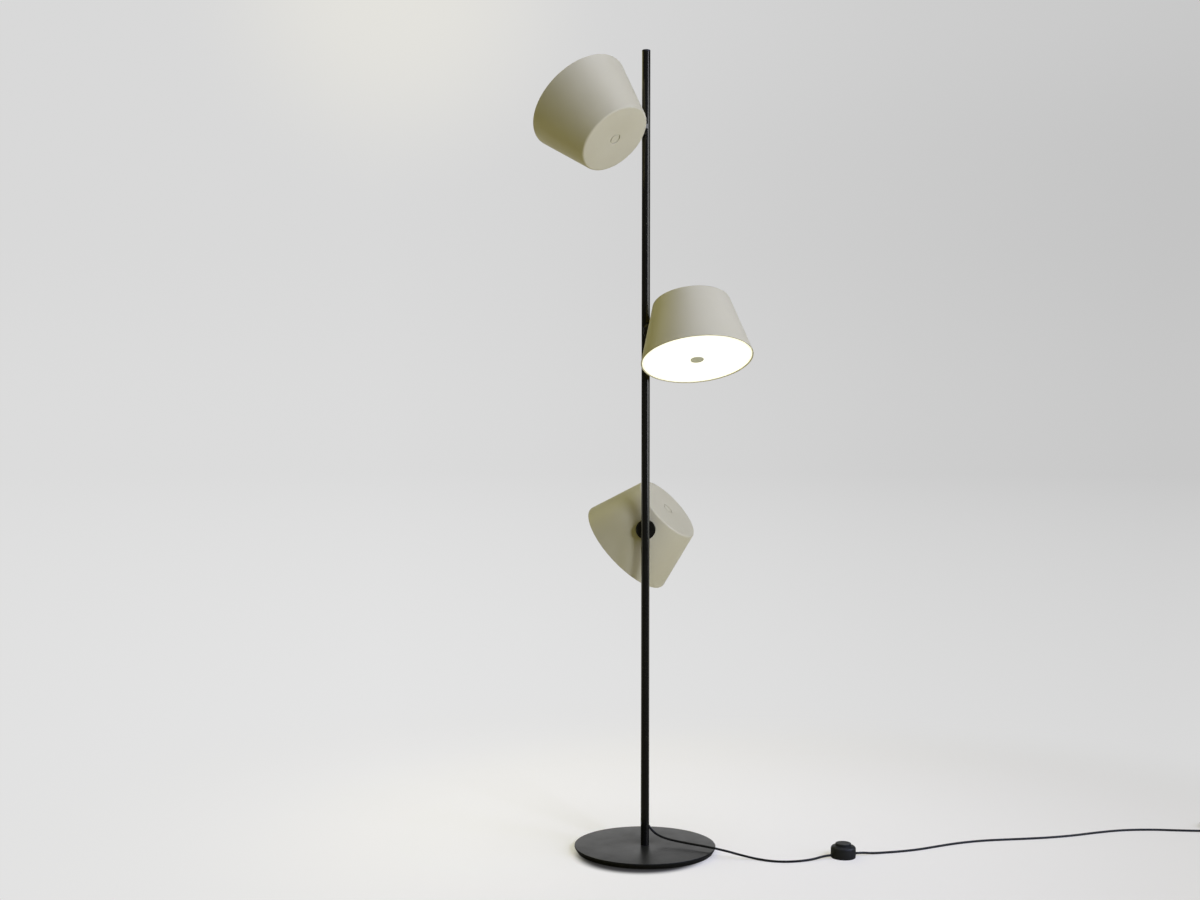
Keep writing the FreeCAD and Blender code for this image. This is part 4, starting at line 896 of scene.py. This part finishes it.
def white_board(name, matrix):
    """White mask with rings of track, and yellow chips that stand above it."""
    material, tree, where = new_material(name, matrix)
    rings = add(tree, "ShaderNodeTexWave", {"Vector": where, "Scale": 28.0}, wave_type="RINGS",
                rings_direction="Z")
    track = spread(tree, rings.outputs["Fac"], 0, 0.12, (0.8, 0.9))
    colour = mixed(tree, track, BOARD_WHITE, TRACK)
    board_top = SHADE_DEPTH - BOARD_FROM_RIM
    chip = spread(tree, height_of(tree, where), 0, 1, (board_top + 0.0001, board_top + 0.0003))
    colour = mixed(tree, chip, colour, CHIP)
    skin = bumped(tree, noise(tree, where, 900.0, 2.0), 0.00003, 0.3)
    principled(tree, Base_Color=colour, Roughness=0.4, Normal=skin)
    return material


def reflector(name):
    """Matt white paint that drifts a little in tone."""
    material, tree, where = new_material(name)
    colour = mixed(tree, spread(tree, noise(tree, where, 25.0, 3.0), 0, 1),
                   tone(0.86, 0.86, 0.84), tone(0.82, 0.82, 0.79))
    skin = bumped(tree, noise(tree, where, 1200.0, 2.0), 0.00005, 0.3)
    principled(tree, Base_Color=colour, Roughness=0.55, Normal=skin)
    return material


def felt(name):
    """Fibres are a twisted noise, which darkens and lifts the surface alike."""
    material, tree, where = new_material(name)
    fibre = noise(tree, where, 700.0, 6.0, 0.75, 1.5)
    colour = mixed(tree, spread(tree, fibre, 0, 1), tone(0.018, 0.018, 0.018), tone(0.05, 0.05, 0.05))
    skin = bumped(tree, fibre, 0.0006, 0.8)
    principled(tree, Base_Color=colour, Roughness=0.95, Normal=skin, Sheen_Weight=0.3)
    return material


zinc = plated("zinc_plate", tone(0.62, 0.62, 0.60), 0.34)
nickel = plated("nickel_plate", tone(0.72, 0.68, 0.58), 0.22, (40.0, 900.0, 900.0))
paint(["foot_plug", "foot_washer", "foot_bolt", "swivel_pins", "stop_washers", "spring_washers",
       "lock_nuts", "pressed_spring", "switch_screws"], zinc)
for level, place in SHADES.items():
    paint(["centre_rod_" + level, "inner_bracket_" + level], zinc)
    paint(["led_tray_" + level], reflector("white_tray_" + level))
    paint(["led_board_" + level], white_board("board_" + level, place))
paint(["plug_pins"], nickel)
paint(["foot_pad"], felt("pressed_felt"))

# %% [markdown]
# ## Floor and backdrop
#
# The lamp stands in a plain studio, a little greyer to the right. One colour ramp holds
# the backdrop's tone from left to right, as the photograph has it at eye level, and two
# more hold it higher up. The world shows them by direction, with a painted pool of warm
# light at the top left, from the upper shade shining on the wall. The floor shows the
# first, by the direction of each spot from where the photographer stood, and adds some
# light to it on the way forward, so the two meet without a line.
#
# Only camera, mirror and glass rays see these tones. All other rays see a plain floor and a
# dim room, which brightens towards the back left. Mirror rays see the tones at a tenth of
# their strength, except behind the lamp, which keeps the black coat black.

# %% Backdrop ramp
BACKDROP_SPAN = 0.4
BACKDROP = [(-0.40, 0.716), (-0.15, 0.713), (-0.05, 0.693), (0.0, 0.680), (0.11, 0.651),
            (0.20, 0.620), (0.36, 0.578)]
HIGHER = [
    (0.17, [(-0.40, 0.693), (-0.15, 0.693), (-0.05, 0.674), (0.11, 0.624), (0.20, 0.597),
            (0.36, 0.552)]),
    (0.30, [(-0.40, 0.693), (-0.15, 0.693), (-0.05, 0.693), (0.11, 0.645), (0.20, 0.617),
            (0.36, 0.583)])]


def backdrop_tone(tree, across, stops):
    """Grey by the share of a direction that points right, through a list of stops."""
    made = add(tree, "ShaderNodeValToRGB", {0: spread(
        tree, across, 0, 1, (-BACKDROP_SPAN, BACKDROP_SPAN))})
    ramp = made.color_ramp
    while len(ramp.elements) < len(stops):
        ramp.elements.new(1.0)
    for element, (share, grey) in zip(ramp.elements, stops):
        element.position = (share / BACKDROP_SPAN + 1) / 2
        element.color = tone(grey, grey, grey)
    return made.outputs["Color"]


def seen_by_eye(tree):
    """One for camera, mirror and glass rays, and nought for the rest."""
    path = add(tree, "ShaderNodeLightPath")
    eye = maths(tree, "MAXIMUM", path.outputs["Is Camera Ray"], path.outputs["Is Glossy Ray"])
    return maths(tree, "MAXIMUM", eye, path.outputs["Is Transmission Ray"])


# %% [markdown]
# ## Floor
#
# Most of what the eye sees of the floor is an emission of the backdrop's tone. Round the
# lamp a share of it is a real matt surface instead, and that share carries the shadow. The
# lamps fall off across it, so its white leans the other way. A dark patch under the front
# of the base is the contact shadow.

# %% Floor's seen tone
FLOOR_RADIUS = 60.0
PHOTOGRAPHER = (-0.108, -3.46, 0)
NEAREST = 2.5
LIFT, LIFT_BY_SHARE, LIFT_REACH = 0.153, 0.18, 10.0
# GLOW_SPOT, SPOT_LIFT and the warm tint paint a pool of warm light on the floor round the lamp.
GLOW_SPOT, SPOT_LIFT, SPOT_REACH = (0.0, 0.35, 0), 0.065, 1.7
WARM_GLOW_SPAN = (0.3, 2.2)
WARM_GLOW_TINT = tone(1.0, 0.993, 0.980)


def offset_of(tree, where, centre):
    """Vector from a fixed place to here, and its length."""
    vector = vectors(tree, "SUBTRACT", where, centre).outputs[0]
    return vector, length_of(tree, vector)


def fade(tree, value, near, far, at_near, at_far):
    """Smooth step from one value to another between two distances."""
    return spread(tree, value, at_near, at_far, (near, far), "SMOOTHERSTEP")


def eye_tone(tree, where):
    """Tone = ramp(s) + (0.153 + 0.18 s) (1 / (1 + d / 10) - 1 / 7) + a painted pool of warm light
    round the lamp.

    Here d is the distance from the photographer and s the share of it to the right. At the
    disc's edge the middle term is nought, so the floor meets the backdrop there.
    """
    from_eye, distance = offset_of(tree, where, PHOTOGRAPHER)
    right = add(tree, "ShaderNodeSeparateXYZ", {0: from_eye}).outputs["X"]
    share = maths(tree, "DIVIDE", right, maths(tree, "MAXIMUM", distance, NEAREST))
    share = maths(tree, "MAXIMUM", maths(tree, "MINIMUM", share, BACKDROP_SPAN), -BACKDROP_SPAN)
    rise = maths(tree, "ADD", maths(tree, "MULTIPLY", share, LIFT_BY_SHARE), LIFT)
    closeness = maths(tree, "DIVIDE", 1.0, maths(tree, "ADD", maths(
        tree, "DIVIDE", distance, LIFT_REACH), 1.0))
    at_edge = 1 / (1 + FLOOR_RADIUS / LIFT_REACH)
    nearer = maths(tree, "MULTIPLY", rise, maths(tree, "SUBTRACT", closeness, at_edge))
    spot_distance = offset_of(tree, where, GLOW_SPOT)[1]
    lift = maths(tree, "ADD", nearer, fade(tree, spot_distance, 0.0, SPOT_REACH, SPOT_LIFT, 0.0))
    seen_tone = vectors(tree, "ADD", backdrop_tone(tree, share, BACKDROP), lift).outputs[0]
    # Painted warm light: the floor's tone is tinted warm near the lamp.
    tint = mixed(tree, fade(tree, spot_distance, *WARM_GLOW_SPAN, 1.0, 0.0), tone(1, 1, 1), WARM_GLOW_TINT)
    return mixed(tree, 1.0, seen_tone, tint, "MULTIPLY")


# %% Floor
SHADOW_MIDDLE, SHADOW_SPAN = (0.5, 0.05, 0), (0.85, 1.7)
FOOT_SPAN, SHADOW_NEAR, SHADOW_SHARE = (0.15, 0.9), 0.60, 0.40
CONTACT_MIDDLE, CONTACT_SPAN, CONTACT_DEPTH = (-0.014, -0.045, 0), (0.122, 0.164), 0.92
MIRRORED_ROOM, MIRROR_SPAN = 0.10, (-0.5, 1.5)
LIT_WHITE = (1.12, 1.065, 1.07)
LIT_WHITE_BY_X = (-0.28, -0.28, -0.34)
LIT_WHITE_BY_Y = (0.20, 0.20, 0.26)
FLOOR_WARM = tone(0.72, 0.66, 0.34)


def real_share(tree, where):
    """Share of real light: more at the lamp's foot, and none far from the lamp and lead."""
    middle_distance = offset_of(tree, where, SHADOW_MIDDLE)[1]
    return maths(tree, "MULTIPLY", fade(tree, middle_distance, *SHADOW_SPAN, 1.0, 0.0), fade(
        tree, length_of(tree, where), *FOOT_SPAN, SHADOW_NEAR, SHADOW_SHARE))


def floor_material():
    """Seen tone times (1 - share) plus the lit surface times the share, both less contact.

    The lit white is a constant plus a slope times X and a slope times Y.
    """
    material, tree, where = new_material("studio_floor")
    seen_tone, real = eye_tone(tree, where), real_share(tree, where)
    contact = fade(tree, offset_of(tree, where, CONTACT_MIDDLE)[1], *CONTACT_SPAN,
                   1 - CONTACT_DEPTH, 1.0)
    glow = add(tree, "ShaderNodeEmission", {"Color": seen_tone, "Strength": maths(
        tree, "MULTIPLY", contact, maths(tree, "SUBTRACT", 1.0, real))})
    spot = add(tree, "ShaderNodeSeparateXYZ", {0: where})
    white = LIT_WHITE
    for axis, slope in (("X", LIT_WHITE_BY_X), ("Y", LIT_WHITE_BY_Y)):
        white = vectors(tree, "MULTIPLY_ADD", spot.outputs[axis], slope, white).outputs[0]
    lit_tone = vectors(tree, "MULTIPLY", white, maths(tree, "MULTIPLY", contact, real))
    lit = add(tree, "ShaderNodeBsdfDiffuse", {"Color": lit_tone.outputs[0]})
    both = add(tree, "ShaderNodeAddShader", {0: glow.outputs[0], 1: lit.outputs[0]})
    front = fade(tree, spot.outputs["Y"], *MIRROR_SPAN, 1 - MIRRORED_ROOM, 0.0)
    mirror = add(tree, "ShaderNodeLightPath").outputs["Is Glossy Ray"]
    seen = add(tree, "ShaderNodeMixShader", {
        0: maths(tree, "MULTIPLY", mirror, front), 1: both.outputs[0]})
    plain = add(tree, "ShaderNodeBsdfDiffuse", {"Color": FLOOR_WARM})
    final = add(tree, "ShaderNodeMixShader", {
        0: seen_by_eye(tree), 1: plain.outputs[0], 2: seen.outputs[0]})
    show(tree, final)
    return material


rings = np.concatenate([[0], np.geomspace(0.5, FLOOR_RADIUS, 24)])
floor = revolved("studio_floor", np.stack([rings, 0 * rings], axis=1), segments=COARSE,
                 wrap_along=False)
floor.data.materials.append(floor_material())
print("floor: a disc of %.0f m" % FLOOR_RADIUS)

# %% World
ROOM = tone(0.09, 0.08, 0.002)
ROOM_BACK = tone(0.70, 0.71, 0.32)
BACK_LEFT = (-0.5, 0.87, 0)
# Painted pool of the upper shade's warm light on the wall, at the top left.
SHADE_LIGHT_PATCH, LIGHT_PATCH_RADIUS = (-0.135, 0.945, 0.300), 0.16
LIGHT_PATCH_TONE = tone(0.775, 0.765, 0.725)
BEHIND_SPAN = (0.82, 0.96)


def make_world():
    """Backdrop for the eye, the same but dimmed for mirrors, and a dim room for all else."""
    world = bpy.data.worlds.new("studio")
    bpy.context.scene.world = world
    world.use_nodes = True
    tree = world.node_tree
    tree.nodes.clear()
    way = add(tree, "ShaderNodeTexCoord").outputs["Generated"]
    parts = add(tree, "ShaderNodeSeparateXYZ", {0: way})
    seen = backdrop_tone(tree, parts.outputs["X"], BACKDROP)
    below = 0.0
    for height, stops in HIGHER:
        climb = fade(tree, parts.outputs["Z"], below, height, 0.0, 1.0)
        seen = mixed(tree, climb, seen, backdrop_tone(tree, parts.outputs["X"], stops))
        below = height
    # Mix in the painted pool of warm light at the top left.
    patch = fade(tree, offset_of(tree, way, SHADE_LIGHT_PATCH)[1], 0.0, LIGHT_PATCH_RADIUS, 1.0, 0.0)
    seen = mixed(tree, patch, seen, LIGHT_PATCH_TONE)
    path = add(tree, "ShaderNodeLightPath")
    behind = fade(tree, parts.outputs["Y"], *BEHIND_SPAN, MIRRORED_ROOM, 1.0)
    mirrored = mixed(tree, path.outputs["Is Glossy Ray"], tone(1, 1, 1), behind)
    eye = add(tree, "ShaderNodeBackground", {"Color": mixed(
        tree, 1.0, seen, mirrored, "MULTIPLY")})
    to_back = vectors(tree, "DOT_PRODUCT", way, BACK_LEFT)
    room = add(tree, "ShaderNodeBackground", {"Color": mixed(tree, fade(
        tree, to_back.outputs["Value"], 0.0, 1.0, 0.0, 1.0), ROOM, ROOM_BACK)})
    both = add(tree, "ShaderNodeMixShader", {
        0: seen_by_eye(tree), 1: room.outputs[0], 2: eye.outputs[0]})
    show(tree, both, "World")
    print("backdrop: %d stops of grey at eye level" % len(BACKDROP))


make_world()

# %% [markdown]
# ## Studio lights
#
# Large soft boxes light the lamp. The key stands on the right of the photographer, above
# head height. Mirror rays pass it by, because the pole shows only one stripe, and that
# comes from the second box, further round, narrow and tall. A third stands at the side.
# One from above opens up the tops, and a weak yellow one behind on the left lifts the far
# edge of the shades. The floor throws the rest back, warm and dim, so the side away from
# the boxes turns olive.

# %% Lights
AIM = Vector((0, 0, 1.2))
LIGHTS = {
    "key": {"at": (1.55, -2.68, 2.03), "size": (0.8, 0.8), "power": 62, "colour": (0.69, 0.755, 1),
            "mirrored": False},
    "second": {"at": (2.56, -1.48, 1.88), "size": (0.85, 2.4), "power": 47,
               "colour": (0.57, 0.62, 1)},
    "side": {"at": (2.76, -0.24, 1.59), "size": (1.2, 2.2), "power": 20, "colour": (0.68, 0.77, 1)},
    "top": {"at": (0.1, 0.0, 3.8), "size": (1.8, 1.8), "power": 29, "colour": (0.81, 0.85, 1)},
    "back": {"at": (-1.86, 1.07, 3.0), "size": (1.6, 1.6), "power": 10, "colour": (1, 0.93, 0.30)},
}


def soft_box(name, at, size, power, colour, mirrored=True):
    """Rectangular area light turned towards AIM. Mirror rays see it only if mirrored."""
    data = bpy.data.lights.new(name, "AREA")
    data.shape = "RECTANGLE"
    data.size, data.size_y = size
    data.energy = power
    data.color = colour
    light = add_object(name, data)
    light.location = at
    light.rotation_euler = (AIM - Vector(at)).to_track_quat("-Z", "Y").to_euler()
    light.visible_glossy = mirrored
    print("%s: %g W, %.1f by %.1f m" % (name, power, *size))


for name, settings in LIGHTS.items():
    soft_box(name, **settings)
bpy.context.scene.view_settings.view_transform = "Standard"
